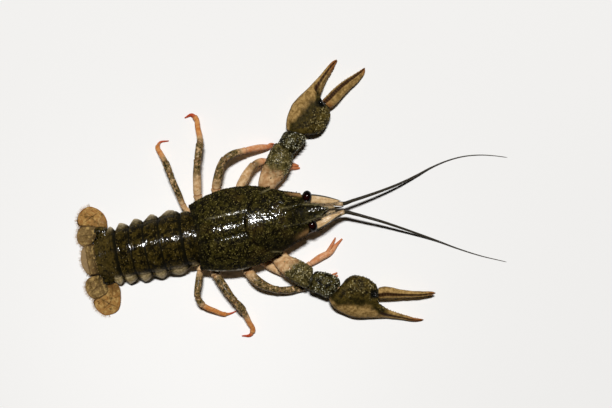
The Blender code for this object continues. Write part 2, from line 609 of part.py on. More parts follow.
SCALES = {
    LEFT: [(56.2, 8.4, 56.0, 4.7, 13.7, 0.5), (59.0, 7.7, 59.0, 3.9, 14.1, 0.5),
           (63.0, 6.2, 63.0, 3.0, 13.9, 0.45), (66.5, 4.5, 66.3, 2.7, 13.5, 0.4),
           (68.7, 3.3, 68.5, 2.9, 13.2, 0.3)],
    RIGHT: [(56.2, -8.5, 56.0, -4.3, 13.7, 0.5), (59.0, -7.6, 59.0, -3.6, 14.1, 0.5),
            (63.0, -5.8, 63.0, -2.8, 13.9, 0.45), (66.0, -4.2, 65.8, -2.6, 13.5, 0.4),
            (68.2, -3.2, 68.0, -2.8, 13.2, 0.3)]}

for side, keys in ANTENNAE.items():
    label = side_name[side]
    base = lengths(keys, ANTENNA_CUTS, sides=10)[0]
    inner_whip, outer_whip = lengths(keys, ANTENNA_CUTS, steps=1, sides=6)[1:]
    add(f"antenna_base_{label}", closed_mesh(base), LEG_SHELL)
    add(f"antenna_whip_inner_{label}", closed_mesh(inner_whip), FEELER_HORN)
    add(f"antenna_whip_outer_{label}", closed_mesh(outer_whip), FEELER_HORN)
    add(f"antenna_scale_{label}", closed_mesh(ribbon(SCALES[side], sides=10, power=2.8)),
        SCALE_SHELL)


# Antennules below the rostrum and the feeding legs folded under the head

for side, label in side_name.items():
    antennule = [(51.9, -0.1 + side * 1.9, 12.8, 1.1), (57.0, -0.1 + side * 1.7, 13.8, 1.15),
                 (62.0, -0.3 + side * 1.3, 14.2, 0.95), (65.6, -0.4 + side * 0.95, 13.4, 0.6),
                 (67.6, -0.5 + side * 0.6, 11.9, 0.38), (68.8, -0.5 + side * 0.5, 9.6, 0.3),
                 (69.7, -0.5 + side * 0.5, 7.0, 0.28), (70.4, -0.5 + side * 0.55, 4.6, 0.25)]
    branch = [(65.9, -0.4 + side * 0.85, 13.0, 0.38), (66.4, -0.45 + side * 0.62, 11.0, 0.32),
              (66.9, -0.45 + side * 0.6, 8.7, 0.28), (67.5, -0.45 + side * 0.62, 6.4, 0.25)]
    add(f"antennule_{label}", fuse(closed_mesh(tube(antennule, steps=1)),
                                   [closed_mesh(tube(branch, steps=1, sides=6))]), FEELER_HORN)
    maxilliped = [(35.7, -0.4 + side * 3.0, 5.0, 1.7), (41.0, -0.3 + side * 2.9, 5.15, 2.0),
                  (46.0, -0.2 + side * 2.6, 6.1, 1.8), (50.0, -0.1 + side * 2.4, 7.5, 1.5),
                  (53.4, side * 2.3, 8.2, 1.2), (55.6, side * 2.2, 7.0, 0.9),
                  (56.6, side * 2.1, 5.2, 0.6)]
    add(f"maxilliped_{label}", closed_mesh(tube(maxilliped)), LEG_SHELL)


# Great claws: upper arm, wrist, hand with its fixed finger, and the free finger

# edge x, y, other edge x, y, middle z, half thickness, from the hip outwards
CLAWS = {
    "left": {
        "arm": [(31.0, 8.2, 36.8, 7.8, 4.4, 2.0), (31.4, 14.0, 38.0, 12.3, 4.7, 2.3),
                (32.4, 18.6, 39.8, 14.9, 6.4, 3.2), (35.0, 24.0, 44.0, 18.0, 8.6, 3.9),
                (38.5, 29.0, 48.0, 22.0, 9.5, 4.2), (42.0, 33.0, 50.2, 26.0, 8.9, 3.9),
                (44.3, 34.6, 50.9, 28.2, 8.2, 3.4)],
        "wrist": [(45.0, 34.7, 51.2, 28.8, 8.0, 3.2), (45.9, 36.2, 54.5, 31.2, 8.1, 4.0),
                  (47.4, 38.0, 57.2, 33.2, 7.8, 4.3), (49.0, 39.8, 58.8, 35.6, 7.0, 3.9),
                  (50.0, 40.4, 58.7, 36.6, 6.4, 3.4)],
        "hand": [(50.2, 40.9, 58.9, 37.1, 6.2, 3.2), (51.0, 45.0, 64.0, 36.6, 5.5, 4.3),
                 (54.0, 51.0, 67.8, 38.3, 4.7, 4.9), (57.5, 54.6, 70.5, 41.5, 4.5, 5.2),
                 (62.0, 57.5, 72.2, 45.0, 4.2, 4.9), (65.0, 59.6, 72.0, 47.5, 3.9, 4.1),
                 (66.6, 60.8, 68.6, 52.2, 3.8, 3.5), (70.0, 63.2, 70.8, 57.0, 3.3, 2.9),
                 (74.0, 66.6, 73.7, 61.2, 2.4, 2.2), (78.0, 69.7, 77.3, 65.3, 1.6, 1.5),
                 (80.7, 70.6, 80.2, 69.2, 0.6, 0.6)],
        "finger": [(72.7, 47.4, 69.6, 51.9, 4.1, 3.2), (75.2, 48.4, 72.0, 53.5, 3.8, 2.9),
                   (80.0, 52.0, 76.5, 56.7, 3.2, 2.5), (85.0, 55.5, 81.5, 59.4, 2.5, 2.0),
                   (90.0, 58.8, 87.2, 61.7, 1.7, 1.4), (92.6, 61.6, 91.0, 63.2, 1.1, 0.9),
                   (93.2, 63.5, 92.7, 64.2, 0.7, 0.5)]},
    "right": {
        "arm": [(31.0, -9.0, 36.8, -8.8, 4.4, 2.0), (30.9, -15.0, 38.0, -13.6, 4.7, 2.3),
                (32.8, -21.0, 40.2, -17.8, 6.5, 3.2), (36.5, -27.0, 44.5, -21.0, 8.5, 3.8),
                (41.0, -31.5, 48.5, -24.0, 9.2, 4.1), (44.5, -34.2, 50.2, -26.0, 8.9, 3.7),
                (46.0, -35.2, 50.6, -27.3, 8.6, 3.3)],
        "wrist": [(46.6, -35.6, 51.2, -27.7, 8.6, 3.1), (48.6, -37.2, 54.5, -28.8, 8.7, 3.9),
                  (51.6, -39.0, 58.8, -30.8, 8.5, 4.2), (53.8, -40.6, 61.6, -33.6, 7.9, 3.9),
                  (54.8, -41.6, 62.4, -36.0, 7.3, 3.3)],
        "hand": [(55.1, -42.1, 62.8, -36.5, 7.1, 3.2), (56.5, -46.0, 65.5, -34.2, 6.8, 4.3),
                 (60.5, -50.0, 69.0, -33.3, 6.4, 4.9), (65.0, -53.0, 73.5, -34.7, 6.2, 5.1),
                 (70.0, -54.4, 77.0, -37.6, 5.8, 4.9), (74.0, -55.1, 79.0, -41.2, 5.4, 4.4),
                 (77.0, -55.7, 78.2, -47.2, 4.7, 3.6), (80.0, -56.3, 80.6, -50.8, 3.9, 2.9),
                 (85.0, -57.7, 85.2, -54.2, 2.7, 2.2), (90.0, -59.3, 90.3, -57.0, 1.9, 1.7),
                 (95.0, -61.0, 95.3, -59.5, 1.0, 1.2), (98.4, -61.3, 98.5, -60.5, 0.35, 0.5)],
        "finger": [(79.6, -41.2, 78.8, -46.6, 6.2, 3.1), (82.0, -41.1, 81.8, -47.0, 6.4, 2.9),
                   (86.0, -42.3, 86.0, -47.6, 6.5, 2.5), (90.0, -44.0, 90.0, -48.1, 6.5, 2.0),
                   (95.0, -45.6, 95.0, -48.8, 6.3, 1.6), (100.0, -46.8, 100.0, -49.4, 6.1, 1.2),
                   (104.0, -47.6, 104.0, -49.4, 5.9, 0.9), (106.2, -48.5, 106.1, -49.1, 5.8, 0.5)]},
}
CLAW_ENDS = {"arm": (1.0, 0.85), "wrist": (0.85, 0.85), "hand": (0.85, 1.0), "finger": (0.85, 1.0)}
# rows as spine_rows() reads them: spines, then knobs on the palm and teeth between the fingers
CLAW_SPINES = {
    "arm": [(0.45, 0.90, 4, 95.0, 0.7, 0.55, 0.6), (0.55, 0.88, 3, 160.0, 1.0, 0.6, 0.7)],
    "wrist": [(0.35, 0.72, 3, 160.0, 1.0, 0.6, 0.5), (0.35, 0.75, 3, 115.0, 0.6, 0.5, 0.4),
              (0.35, 0.75, 3, 65.0, 0.6, 0.5, 0.4)],
    "hand": [(0.09, 0.34, 5, 172.0, 0.7, 0.6, 0.3), (0.10, 0.38, 5, 135.0, 0.5, 0.55, 0.3),
             (0.12, 0.42, 5, 100.0, 0.45, 0.55, 0.2), (0.62, 0.92, 6, 180.0, 0.4, 0.45, 0.0)],
    "finger": [(0.14, 0.90, 7, 180.0, 0.4, 0.42, 0.0), (0.10, 0.40, 3, 40.0, 0.4, 0.4, 0.2)],
}
for label, pieces in CLAWS.items():
    for piece, keys in pieces.items():
        rings = ribbon(keys, steps=1 if piece == "hand" else 2, blunt=CLAW_ENDS[piece])
        form = fuse(closed_mesh(rings), spine_rows(keys, CLAW_SPINES[piece]))
        add(f"claw_{piece}_{label}", form, CLAW_SHELL)


# Walking legs: thigh, shin and, on the two front pairs, a small pincer

# x, y, z, half width, from the hip outwards; the number after the keys says where it is parted
LEGS = {
    "leg_2_left": ([
        (24.4, 8.0, HIP_Z, 1.6), (22.3, 15.5, 5.7, 2.0), (26.5, 22.0, 7.8, 2.3),
        (31.5, 27.0, 8.7, 1.75), (35.2, 28.3, 6.9, 1.8), (38.9, 27.7, 4.2, 1.4),
        (44.0, 26.0, 2.3, 1.7), (48.0, 24.1, 1.6, 1.6), (51.4, 22.4, 0.5, 0.8),
        (52.8, 21.7, 0.25, 0.45)], (3, 5)),
    "leg_3_left": ([
        (17.4, 8.2, HIP_Z, 1.6), (11.8, 17.0, 6.2, 2.0), (14.2, 25.0, 9.0, 2.15),
        (18.8, 32.4, 10.0, 1.7), (23.0, 34.2, 9.3, 1.8), (29.0, 35.0, 7.3, 1.4),
        (36.0, 35.2, 4.2, 1.6), (40.0, 34.9, 1.9, 1.2), (41.8, 34.8, 0.45, 0.68),
        (42.7, 34.7, 0.2, 0.4)], (3, 5)),
    "leg_4_left": ([
        (10.0, 7.8, HIP_Z, 1.5), (3.2, 15.2, 5.9, 1.85), (4.0, 25.0, 8.8, 2.0),
        (6.1, 34.4, 10.2, 1.65), (7.4, 38.5, 9.2, 1.85), (8.8, 44.0, 6.6, 1.5),
        (8.8, 50.0, 3.8, 1.3), (8.3, 55.0, 1.2, 1.1), (6.6, 57.0, 0.5, 0.65),
        (3.3, 56.5, 0.15, 0.3)], (3,)),
    "leg_5_left": ([
        (3.4, 6.8, HIP_Z, 1.3), (-4.0, 12.6, 5.3, 1.3), (-6.1, 21.0, 7.8, 1.55),
        (-8.1, 30.4, 8.9, 1.5), (-8.8, 34.0, 7.8, 1.7), (-9.8, 37.6, 6.0, 1.35),
        (-11.3, 41.5, 3.6, 1.25), (-12.3, 44.6, 1.3, 1.05), (-11.0, 46.6, 0.45, 0.6),
        (-6.8, 46.7, 0.15, 0.3)], (3,)),
    "leg_2_right": ([
        (25.0, -9.0, HIP_Z, 1.6), (27.5, -17.5, 4.6, 2.0), (33.0, -23.6, 3.4, 1.9),
        (41.0, -27.6, 2.3, 1.6), (45.0, -26.3, 2.2, 1.7), (49.6, -24.3, 2.1, 1.35),
        (55.0, -22.1, 2.0, 1.7), (60.0, -20.5, 1.5, 1.5), (64.0, -17.5, 0.5, 0.87),
        (66.9, -15.4, 0.25, 0.45)], (3, 5)),
    "leg_3_right": ([
        (18.0, -9.2, HIP_Z, 1.6), (19.2, -20.0, 6.2, 2.3), (23.0, -27.0, 8.2, 2.4),
        (32.2, -33.4, 6.0, 1.6), (38.0, -34.6, 4.0, 1.8), (43.4, -35.0, 2.3, 1.4),
        (50.0, -34.6, 1.6, 1.55), (56.0, -33.6, 1.3, 1.45), (59.4, -32.9, 0.5, 0.84),
        (61.5, -32.4, 0.25, 0.45)], (3, 5)),
    "leg_4_right": ([
        (10.0, -9.0, HIP_Z, 1.5), (4.2, -18.5, 6.0, 2.1), (7.2, -27.0, 8.3, 2.1),
        (11.0, -34.6, 9.1, 1.65), (13.0, -38.0, 8.2, 2.0), (14.4, -41.2, 6.4, 1.5),
        (15.6, -46.0, 3.8, 1.3), (16.5, -50.6, 1.3, 1.1), (15.2, -52.6, 0.5, 0.65),
        (11.3, -52.2, 0.15, 0.3)], (3,)),
    "leg_5_right": ([
        (3.4, -8.6, HIP_Z, 1.3), (-1.8, -15.6, 5.4, 1.4), (-4.2, -22.5, 7.6, 1.7),
        (-6.0, -29.0, 8.2, 1.4), (-5.6, -31.8, 7.0, 1.6), (-3.6, -34.8, 5.4, 1.25),
        (0.5, -37.9, 3.4, 1.2), (4.6, -40.5, 1.2, 1.0), (7.0, -40.8, 0.42, 0.55),
        (10.8, -40.1, 0.15, 0.28)], (3,)),
}
# the free finger beside the tip of each pincer: x, y, z, half width
PINCER_FINGERS = {
    "leg_2_left": [(47.9, 24.9, 2.1, 0.9), (50.3, 24.6, 2.0, 0.65), (52.6, 23.6, 1.0, 0.3)],
    "leg_3_left": [(40.0, 35.4, 2.3, 0.7), (41.6, 36.1, 2.0, 0.5), (43.1, 35.9, 1.1, 0.28)],
    "leg_2_right": [(59.4, -19.6, 2.1, 0.9), (61.8, -16.9, 2.3, 0.75), (64.0, -14.0, 1.7, 0.3)],
    "leg_3_right": [(56.2, -33.0, 1.9, 0.9), (59.0, -31.6, 2.0, 0.65), (61.7, -30.8, 1.2, 0.3)],
}
for name, (keys, cuts) in LEGS.items():
    for piece, rings in zip(("thigh", "shin", "pincer"), lengths(keys, cuts, tall=1.05)):
        form = closed_mesh(rings)
        if piece == "pincer":
            form = fuse(form, [closed_mesh(tube(PINCER_FINGERS[name], steps=1, sides=6))])
        add(f"{name}_{piece}", form, LEG_SHELL)
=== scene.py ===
"""Looks of a narrow-clawed crayfish, life size, standing still with its claws spread.

Lengths are millimetres, and piece() turns them to metres. While a piece is drawn, x = 0 is
the rear edge of the carapace, +X runs to the feelers, +Y to the animal's left and z = 0 is
the floor; piece() then moves it by HOME to its place in the frame.
"""

import math
from functools import reduce
from itertools import product

import bpy
import numpy as np
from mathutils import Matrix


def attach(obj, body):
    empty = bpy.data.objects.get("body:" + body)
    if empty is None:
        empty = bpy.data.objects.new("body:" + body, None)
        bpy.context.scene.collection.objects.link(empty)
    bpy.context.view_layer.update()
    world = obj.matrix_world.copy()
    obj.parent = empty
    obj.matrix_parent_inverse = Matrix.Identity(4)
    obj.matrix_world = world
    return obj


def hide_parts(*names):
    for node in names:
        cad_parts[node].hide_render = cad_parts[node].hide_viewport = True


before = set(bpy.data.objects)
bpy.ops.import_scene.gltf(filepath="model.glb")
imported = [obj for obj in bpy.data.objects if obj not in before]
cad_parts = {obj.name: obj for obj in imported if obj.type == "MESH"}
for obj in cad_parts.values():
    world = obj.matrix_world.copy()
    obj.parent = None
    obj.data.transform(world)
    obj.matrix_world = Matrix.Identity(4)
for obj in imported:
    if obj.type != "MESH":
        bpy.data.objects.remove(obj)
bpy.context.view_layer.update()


# Camera
# It looks straight down, as in the photo, and is turned so that the body lies askew in the
# picture with its head to the right.

MM = 0.001
CAMERA_PLACE = (6.1, -0.1, 650.0)      # in the frame
CAMERA_TURN = -10.6             # degrees
SENSOR = 36.0                   # breadth of the camera's chip
VIEW_BREADTH = 293.0            # how much floor the picture takes in, at the claws' level
CLAW_LEVEL = 6.0

camera_data = bpy.data.cameras.new("camera")
camera_data.sensor_width = SENSOR
camera_data.lens = SENSOR * (CAMERA_PLACE[2] - CLAW_LEVEL) / VIEW_BREADTH
camera = bpy.data.objects.new("camera", camera_data)
camera.location = [MM * c for c in CAMERA_PLACE]
camera.rotation_euler = (0.0, 0.0, math.radians(CAMERA_TURN))
bpy.context.scene.collection.objects.link(camera)
bpy.context.scene.camera = camera
bpy.context.scene.view_settings.view_transform = "Standard"


# Floor and lights
# A pale, smooth table, painted a shade lighter beside the animal's right legs as a pool of
# the lamp's light. One lamp stands high beyond its left side and throws short, crisp shadows
# straight down the picture; a dim, warm surround fills them a little.

LAMP_TILT = 17.0                # degrees from upright
LAMP_AWAY = 5200.0              # distance from the table's middle
LAMP_SIZE = (1000.0, 340.0)
LAMP_POWER = 280.0              # watts
LAMP_COLOUR = (1.0, 0.993, 0.984)
SURROUND_COLOUR = (1.0, 0.92, 0.80, 1.0)
SURROUND_STRENGTH = 0.005
TABLE_COLOUR = (0.86, 0.857, 0.85)
TABLE_ROUGHNESS = 0.75
TABLE_HALF = 2000.0
TABLE_LINES = 81                # each way, closer together in the middle
# a painted pool of light: the table's colour is brighter round this spot
LIGHT_POOL_SPOT = (-57.0, -60.0)   # x, y in the frame
LIGHT_POOL_RADIUS = 108.0
LIGHT_POOL_GAIN = 0.10               # share by which the table is lighter there

line = TABLE_HALF * np.linspace(-1.0, 1.0, TABLE_LINES) ** 3
across, down = (a.ravel() for a in np.meshgrid(line, line))
cell = np.arange(TABLE_LINES - 1)
first = (cell[:, None] * TABLE_LINES + cell).ravel()
table_mesh = bpy.data.meshes.new("table")
table_mesh.from_pydata(MM * np.column_stack([across, down, np.zeros(len(across))]), [],
                       first[:, None] + (0, 1, TABLE_LINES + 1, TABLE_LINES))
# painted light: the table's colour is raised in a soft pool round the spot above
from_spot = np.hypot(across - LIGHT_POOL_SPOT[0], down - LIGHT_POOL_SPOT[1])
light_pool = 1.0 + LIGHT_POOL_GAIN * np.exp(-(from_spot / LIGHT_POOL_RADIUS) ** 2)
light_pool = np.column_stack([light_pool[:, None] * TABLE_COLOUR, np.ones(len(light_pool))])
table_mesh.attributes.new("light_pool", "FLOAT_COLOR", "POINT").data.foreach_set("color", light_pool.ravel())
table = bpy.data.objects.new("table", table_mesh)
bpy.context.scene.collection.objects.link(table)
table_paint = bpy.data.materials.new("table_paint")
table_paint.use_nodes = True
table_shader = table_paint.node_tree.nodes["Principled BSDF"]
table_shader.inputs["Roughness"].default_value = TABLE_ROUGHNESS
read_light_pool = table_paint.node_tree.nodes.new("ShaderNodeAttribute")
read_light_pool.attribute_name = "light_pool"
table_paint.node_tree.links.new(read_light_pool.outputs["Color"], table_shader.inputs["Base Color"])
table_mesh.materials.append(table_paint)

lamp_data = bpy.data.lights.new("lamp", "AREA")
lamp_data.shape = "ELLIPSE"
lamp_data.size = LAMP_SIZE[0] * MM
lamp_data.size_y = LAMP_SIZE[1] * MM
lamp_data.energy = LAMP_POWER
lamp_data.color = LAMP_COLOUR
lamp = bpy.data.objects.new("lamp", lamp_data)
tilt = math.radians(LAMP_TILT)
turn = math.radians(CAMERA_TURN)
aside = LAMP_AWAY * MM * math.sin(tilt)
lamp.location = (-aside * math.sin(turn), aside * math.cos(turn), LAMP_AWAY * MM * math.cos(tilt))
lamp.rotation_euler = (-tilt, 0.0, turn)
bpy.context.scene.collection.objects.link(lamp)

world = bpy.data.worlds.new("surround")
world.use_nodes = True
surround = world.node_tree.nodes["Background"]
surround.inputs["Color"].default_value = SURROUND_COLOUR
surround.inputs["Strength"].default_value = SURROUND_STRENGTH
bpy.context.scene.world = world


# Carapace behind the neck groove
# One hard, limy shell plate over the gills, olive black and set with fine grains. It is hollow
# and meets the head shield in the neck groove; two furrows part its middle strip from the
# gill chambers.

HOME = np.array((-46.9, -4.6, 0.0))     # the carapace's rear edge in the frame
# rows of x and the half width, or the top's and the bottom's level, there
BACK_HALF_WIDTH = [(-2, 15.0), (0, 15.7), (8, 18.1), (17, 19.3), (28, 18.3), (38, 15.0),
                   (46, 12.0), (51, 10.3)]
BACK_TOP = [(-2, 21.0), (0, 21.6), (9, 24.7), (21, 25.7), (31, 25.45), (41, 23.7), (51, 20.2)]
BACK_BOTTOM = [(-2, 8.0), (5, 7.2), (38, 7.2), (51, 10.6)]
WIDEST_LEVEL = 12.0             # level at which the carapace is widest
BACK_SIDES = 330                # points round each of its rings
UPPER_SHARE = 0.72              # share of the sides that lie on the plate's upper face
# steps inwards along x and their insets, from inside the shell to its face
REAR_FOLD = [(4.0, 2.6), (2.2, 1.9), (0.5, 1.2), (0.1, 0.9), (-0.06, 0.6), (-0.05, 0.3),
             (0.04, 0.1), (0.2, 0.0)]
NECK_FOLD = [(1.2, 2.2), (0.2, 1.5), (-0.1, 0.95), (-0.12, 0.45), (-0.05, 0.12), (0.12, 0.03),
             (0.5, 0.0)]
NECK_LAP = 0.08                 # how far each plate reaches past the middle of the neck groove
FURROW = 3.0                    # distance of the gill furrows from the middle
STRIP_CROWN = 0.45              # how far the strip between them is crowned
VALLEY = 0.95                   # how far it lies below the gill chambers' curve
VALLEY_FADE = 2.6               # distance over which that curve is reached again
ACROSS = (1.0, 0.35, 0.35)      # stretches grains into short wrinkles across the body
GRAIN_REACH = 0.62              # radius of a grain, as a share of its cell
# spines behind the neck groove: turns from the top, and heights
SHOULDER_TURNS = np.array((0.80, 0.95, 1.07, 1.18, 1.28, 1.38, 1.48, 1.58))
SHOULDER_HEIGHTS = np.array((0.5, 0.8, 0.7, 1.0, 0.8, 1.2, 1.0, 1.3))

OLIVE_BLACK = (0.0035, 0.0026, 0.0006)
OLIVE = (0.033, 0.0265, 0.0040)
MOSS = (0.220, 0.178, 0.050)
RUST_BROWN = (0.065, 0.036, 0.008)
PIT_BLACK = (0.002, 0.0015, 0.0005)
# pale of the neck groove's lines and the rostrum's rims, and of a painted highlight on the left
PALE_LINE_AND_HIGHLIGHT = (0.27, 0.23, 0.11)
TAN = (0.40, 0.22, 0.085)
# pale grey of a painted highlight along the carapace's right rim
PAINTED_RIM_HIGHLIGHT = (0.50, 0.46, 0.37)
# black of painted shade, and of the shell's darker tone on the brow and rostrum
DARK_TONE_AND_SHADE = (0.004, 0.0035, 0.0015)


def through(keys, at, limited=True):
    """Smooth curve through rows of (position, values...), read at each position in `at`.

    Between two keys it is the cubic with the keys' values and slopes. A key's slope is a mean
    of those to its neighbours: harmonic, or 0 at a peak, where limited=True has to keep each
    value between its neighbouring keys, and otherwise weighted by the other side's length.
    """
    keys = np.asarray(keys, float)
    place, rows = keys[:, 0], keys[:, 1:]
    steps = np.diff(place)[:, None]
    slopes = np.diff(rows, axis=0) / steps
    tangents = np.empty_like(rows)
    tangents[0], tangents[-1] = slopes[0], slopes[-1]
    before, after = slopes[:-1], slopes[1:]
    if limited:
        total = np.where(before + after == 0.0, 1.0, before + after)
        tangents[1:-1] = np.where(before * after > 0.0, 2.0 * before * after / total, 0.0)
    else:
        tangents[1:-1] = (before * steps[1:] + after * steps[:-1]) / (steps[1:] + steps[:-1])
    at = np.clip(np.asarray(at, float), place[0], place[-1])
    k = np.clip(np.searchsorted(place, at, side="right") - 1, 0, len(place) - 2)
    h = steps[k]
    u = (at - place[k])[:, None] / h
    return ((2 * u**3 - 3 * u**2 + 1) * rows[k] + (u**3 - 2 * u**2 + u) * h * tangents[k]
            + (3 * u**2 - 2 * u**3) * rows[k + 1] + (u**3 - u**2) * h * tangents[k + 1])


def at_x(keys, x):
    """One value of a profile given by rows of (x, value), at each x."""
    return through(keys, np.ravel(x))[:, 0].reshape(np.shape(x))


def bell(distance, width):
    """1 at distance 0, falling to nothing a few widths away: exp(-(distance / width)**2)."""
    return np.exp(-(np.asarray(distance) / width) ** 2)


def rise(value, low, high):
    """0 below `low`, 1 above `high`, and a smooth 3t^2 - 2t^3 between them."""
    t = np.clip((np.asarray(value) - low) / (high - low), 0.0, 1.0)
    return t * t * (3.0 - 2.0 * t)


def largest(*marks):
    """The largest of several values at each point."""
    return reduce(np.maximum, marks)


def signed_power(value, power):
    """abs(value) to a power, with value's own sign."""
    return np.sign(value) * np.abs(value) ** power


def scatter(cells, seed):
    """Three even random numbers from 0 to 1 for each whole-numbered lattice cell."""
    k = cells.astype(np.int64)
    mixed = (k[..., 0] * 73856093) ^ (k[..., 1] * 19349663) ^ (k[..., 2] * 83492791) ^ (seed * 7919)
    rows = []
    for _ in range(3):
        mixed = mixed & 0x7FFFFFFF
        mixed = ((mixed ^ (mixed >> 13)) * 1274126177) & 0x7FFFFFFF
        mixed = mixed ^ (mixed >> 11)
        rows.append(mixed / 0x7FFFFFFF)
    return np.stack(rows, axis=-1)


def grains(points, size, seed):
    """Height 0 to 1 of rounded grains, one in each cell of an uneven lattice.

    A grain's height is 1 - (distance / (GRAIN_REACH * size))**2 from its middle.
    """
    cells = np.floor(points / size)
    height = np.zeros(points.shape[:-1])
    for step in product((-1, 0, 1), repeat=3):
        corner = cells + step
        middle = (corner + 0.5 + 0.7 * (scatter(corner, seed) - 0.5)) * size
        distance = np.linalg.norm(points - middle, axis=-1) / (size * GRAIN_REACH)
        height = np.maximum(height, 1.0 - distance**2)
    return height


def lumps(points, size, seed):
    """Smooth unevenness from -1 to 1: random values at a lattice's corners, blended between."""
    scaled = points / size
    cells = np.floor(scaled)
    share = scaled - cells
    share = share * share * (3.0 - 2.0 * share)
    total = np.zeros(points.shape[:-1])
    for step in product((0, 1), repeat=3):
        weight = np.prod(np.where(step, share, 1.0 - share), axis=-1)
        total += weight * scatter(cells + step, seed)[..., 0]
    return 2.0 * total - 1.0


def unit(vectors):
    """Each vector with its length made 1."""
    return vectors / np.maximum(np.linalg.norm(vectors, axis=-1, keepdims=True), 1e-9)


def outward(grid):
    """Unit normals of rings of points, pointing away from each ring's middle."""
    normal = unit(np.cross(np.roll(grid, -1, axis=1) - np.roll(grid, 1, axis=1),
                           np.gradient(grid, axis=0)))
    away = np.sum(normal * (grid - grid.mean(axis=1, keepdims=True)))
    return normal if away > 0.0 else -normal


def raised(grid, height):
    """Rings of points, each moved out along its normal by its own height."""
    return grid + outward(grid) * height[..., None]


def ring_angles(sides):
    """Even angles once round a ring."""
    return 2.0 * np.pi * np.arange(sides) / sides


def closed(grid, **marks):
    """Closed form through rings of points, with a fan to a middle point at each end.

    Each mark is one number for each point of the grid, kept for the material to read.
    """
    rings, sides = grid.shape[:2]
    points = np.concatenate([grid.reshape(-1, 3), grid[[0, -1]].mean(axis=1)])
    edge = np.arange(sides)
    following = (edge + 1) % sides
    row = np.arange(rings - 1)[:, None] * sides
    quads = np.stack([row + edge, row + following, row + following + sides, row + edge + sides], -1)
    last = (rings - 1) * sides
    tris = np.concatenate([
        np.column_stack([following, edge, np.full(sides, rings * sides)]),
        np.column_stack([edge + last, following + last, np.full(sides, rings * sides + 1)])])
    quads = quads.reshape(-1, 4)
    a, b, c, d = (points[quads[:, k]] for k in range(4))
    if np.sum(np.cross(c - a, d - b) * (a + b + c + d)) < 0.0:
        quads, tris = quads[:, ::-1], tris[:, ::-1]
    kept = {}
    for name, mark in marks.items():
        mark = np.broadcast_to(mark, (rings, sides))
        kept[name] = np.concatenate([mark.ravel(), mark[[0, -1]].mean(axis=1)])
    return points, quads, tris, kept


def piece(name, forms, material, slot, *nodes):
    """Object made of closed forms, set in its place in the frame and nowhere below the floor.

    It stands for the named nodes of the solids.
    """
    start = np.cumsum([0] + [len(form[0]) for form in forms[:-1]])
    points = (np.concatenate([form[0] for form in forms]) + HOME) * MM
    points[:, 2] = np.maximum(points[:, 2], 0.0)
    quads = np.concatenate([form[1] + s for form, s in zip(forms, start)])
    tris = np.concatenate([form[2] + s for form, s in zip(forms, start)])
    corners = np.concatenate([quads.ravel(), tris.ravel()]).astype(np.int32)
    sizes = np.repeat([4, 3], [len(quads), len(tris)])
    mesh = bpy.data.meshes.new(name)
    mesh.vertices.add(len(points))
    mesh.vertices.foreach_set("co", points.astype(np.float32).ravel())
    mesh.loops.add(len(corners))
    mesh.loops.foreach_set("vertex_index", corners)
    mesh.polygons.add(len(sizes))
    mesh.polygons.foreach_set("loop_start", (np.cumsum(sizes) - sizes).astype(np.int32))
    mesh.update(calc_edges=True)
    mesh.shade_smooth()
    for mark in sorted({mark for form in forms for mark in form[3]}):
        values = np.concatenate([form[3].get(mark, np.zeros(len(form[0]))) for form in forms])
        kept = mesh.attributes.new(mark, "FLOAT", "POINT")
        kept.data.foreach_set("value", values.astype(np.float32))
    mesh.materials.append(material)
    made = bpy.data.objects.new(name, mesh)
    bpy.context.scene.collection.objects.link(made)
    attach(made, "root")
    if nodes:
        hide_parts(*nodes)
    return made


def spikes(roots, tips, widths, sides=7, bend=None, shares=(0.0, 0.4, 0.75, 1.0),
           taper=(1.0, 0.72, 0.36, 0.05), **marks):
    """Closed tapered spikes, one for each row: rings at shares of the way from root to tip.

    A spike's middle runs root + (tip - root) * t + bend * (t * t - t).
    """
    roots, tips = np.atleast_2d(np.asarray(roots, float)), np.atleast_2d(np.asarray(tips, float))
    count = len(roots)
    widths = np.broadcast_to(widths, count)
    heading = unit(tips - roots)
    side = unit(np.cross(heading, np.array((0.31, 0.22, 0.93))))
    above = np.cross(side, heading)
    t = np.array(shares)[None, :, None]
    path = roots[:, None] + (tips - roots)[:, None] * t
    if bend is not None:
        path = path + np.asarray(bend, float).reshape(-1, 1, 3) * (t * t - t)
    turn = ring_angles(sides)
    rim = np.cos(turn)[None, :, None] * side[:, None] + np.sin(turn)[None, :, None] * above[:, None]
    rings = path[:, :, None] + rim[:, None] * (widths[:, None] * np.array(taper))[..., None, None]
    one = closed(rings[0])
    ends = rings[:, [0, -1]].mean(axis=2)
    points = np.concatenate([rings.reshape(count, -1, 3), ends], axis=1)
    size = points.shape[1]
    shift = (np.arange(count) * size)[:, None, None]
    share = np.concatenate([np.repeat(np.array(shares), sides), [0.0, 1.0]])
    kept = {name: np.repeat(np.broadcast_to(value, count), size) for name, value in marks.items()}
    kept["tip"] = np.tile(share, count)
    return (points.reshape(-1, 3), (one[1][None] + shift).reshape(-1, 4),
            (one[2][None] + shift).reshape(-1, 3), kept)


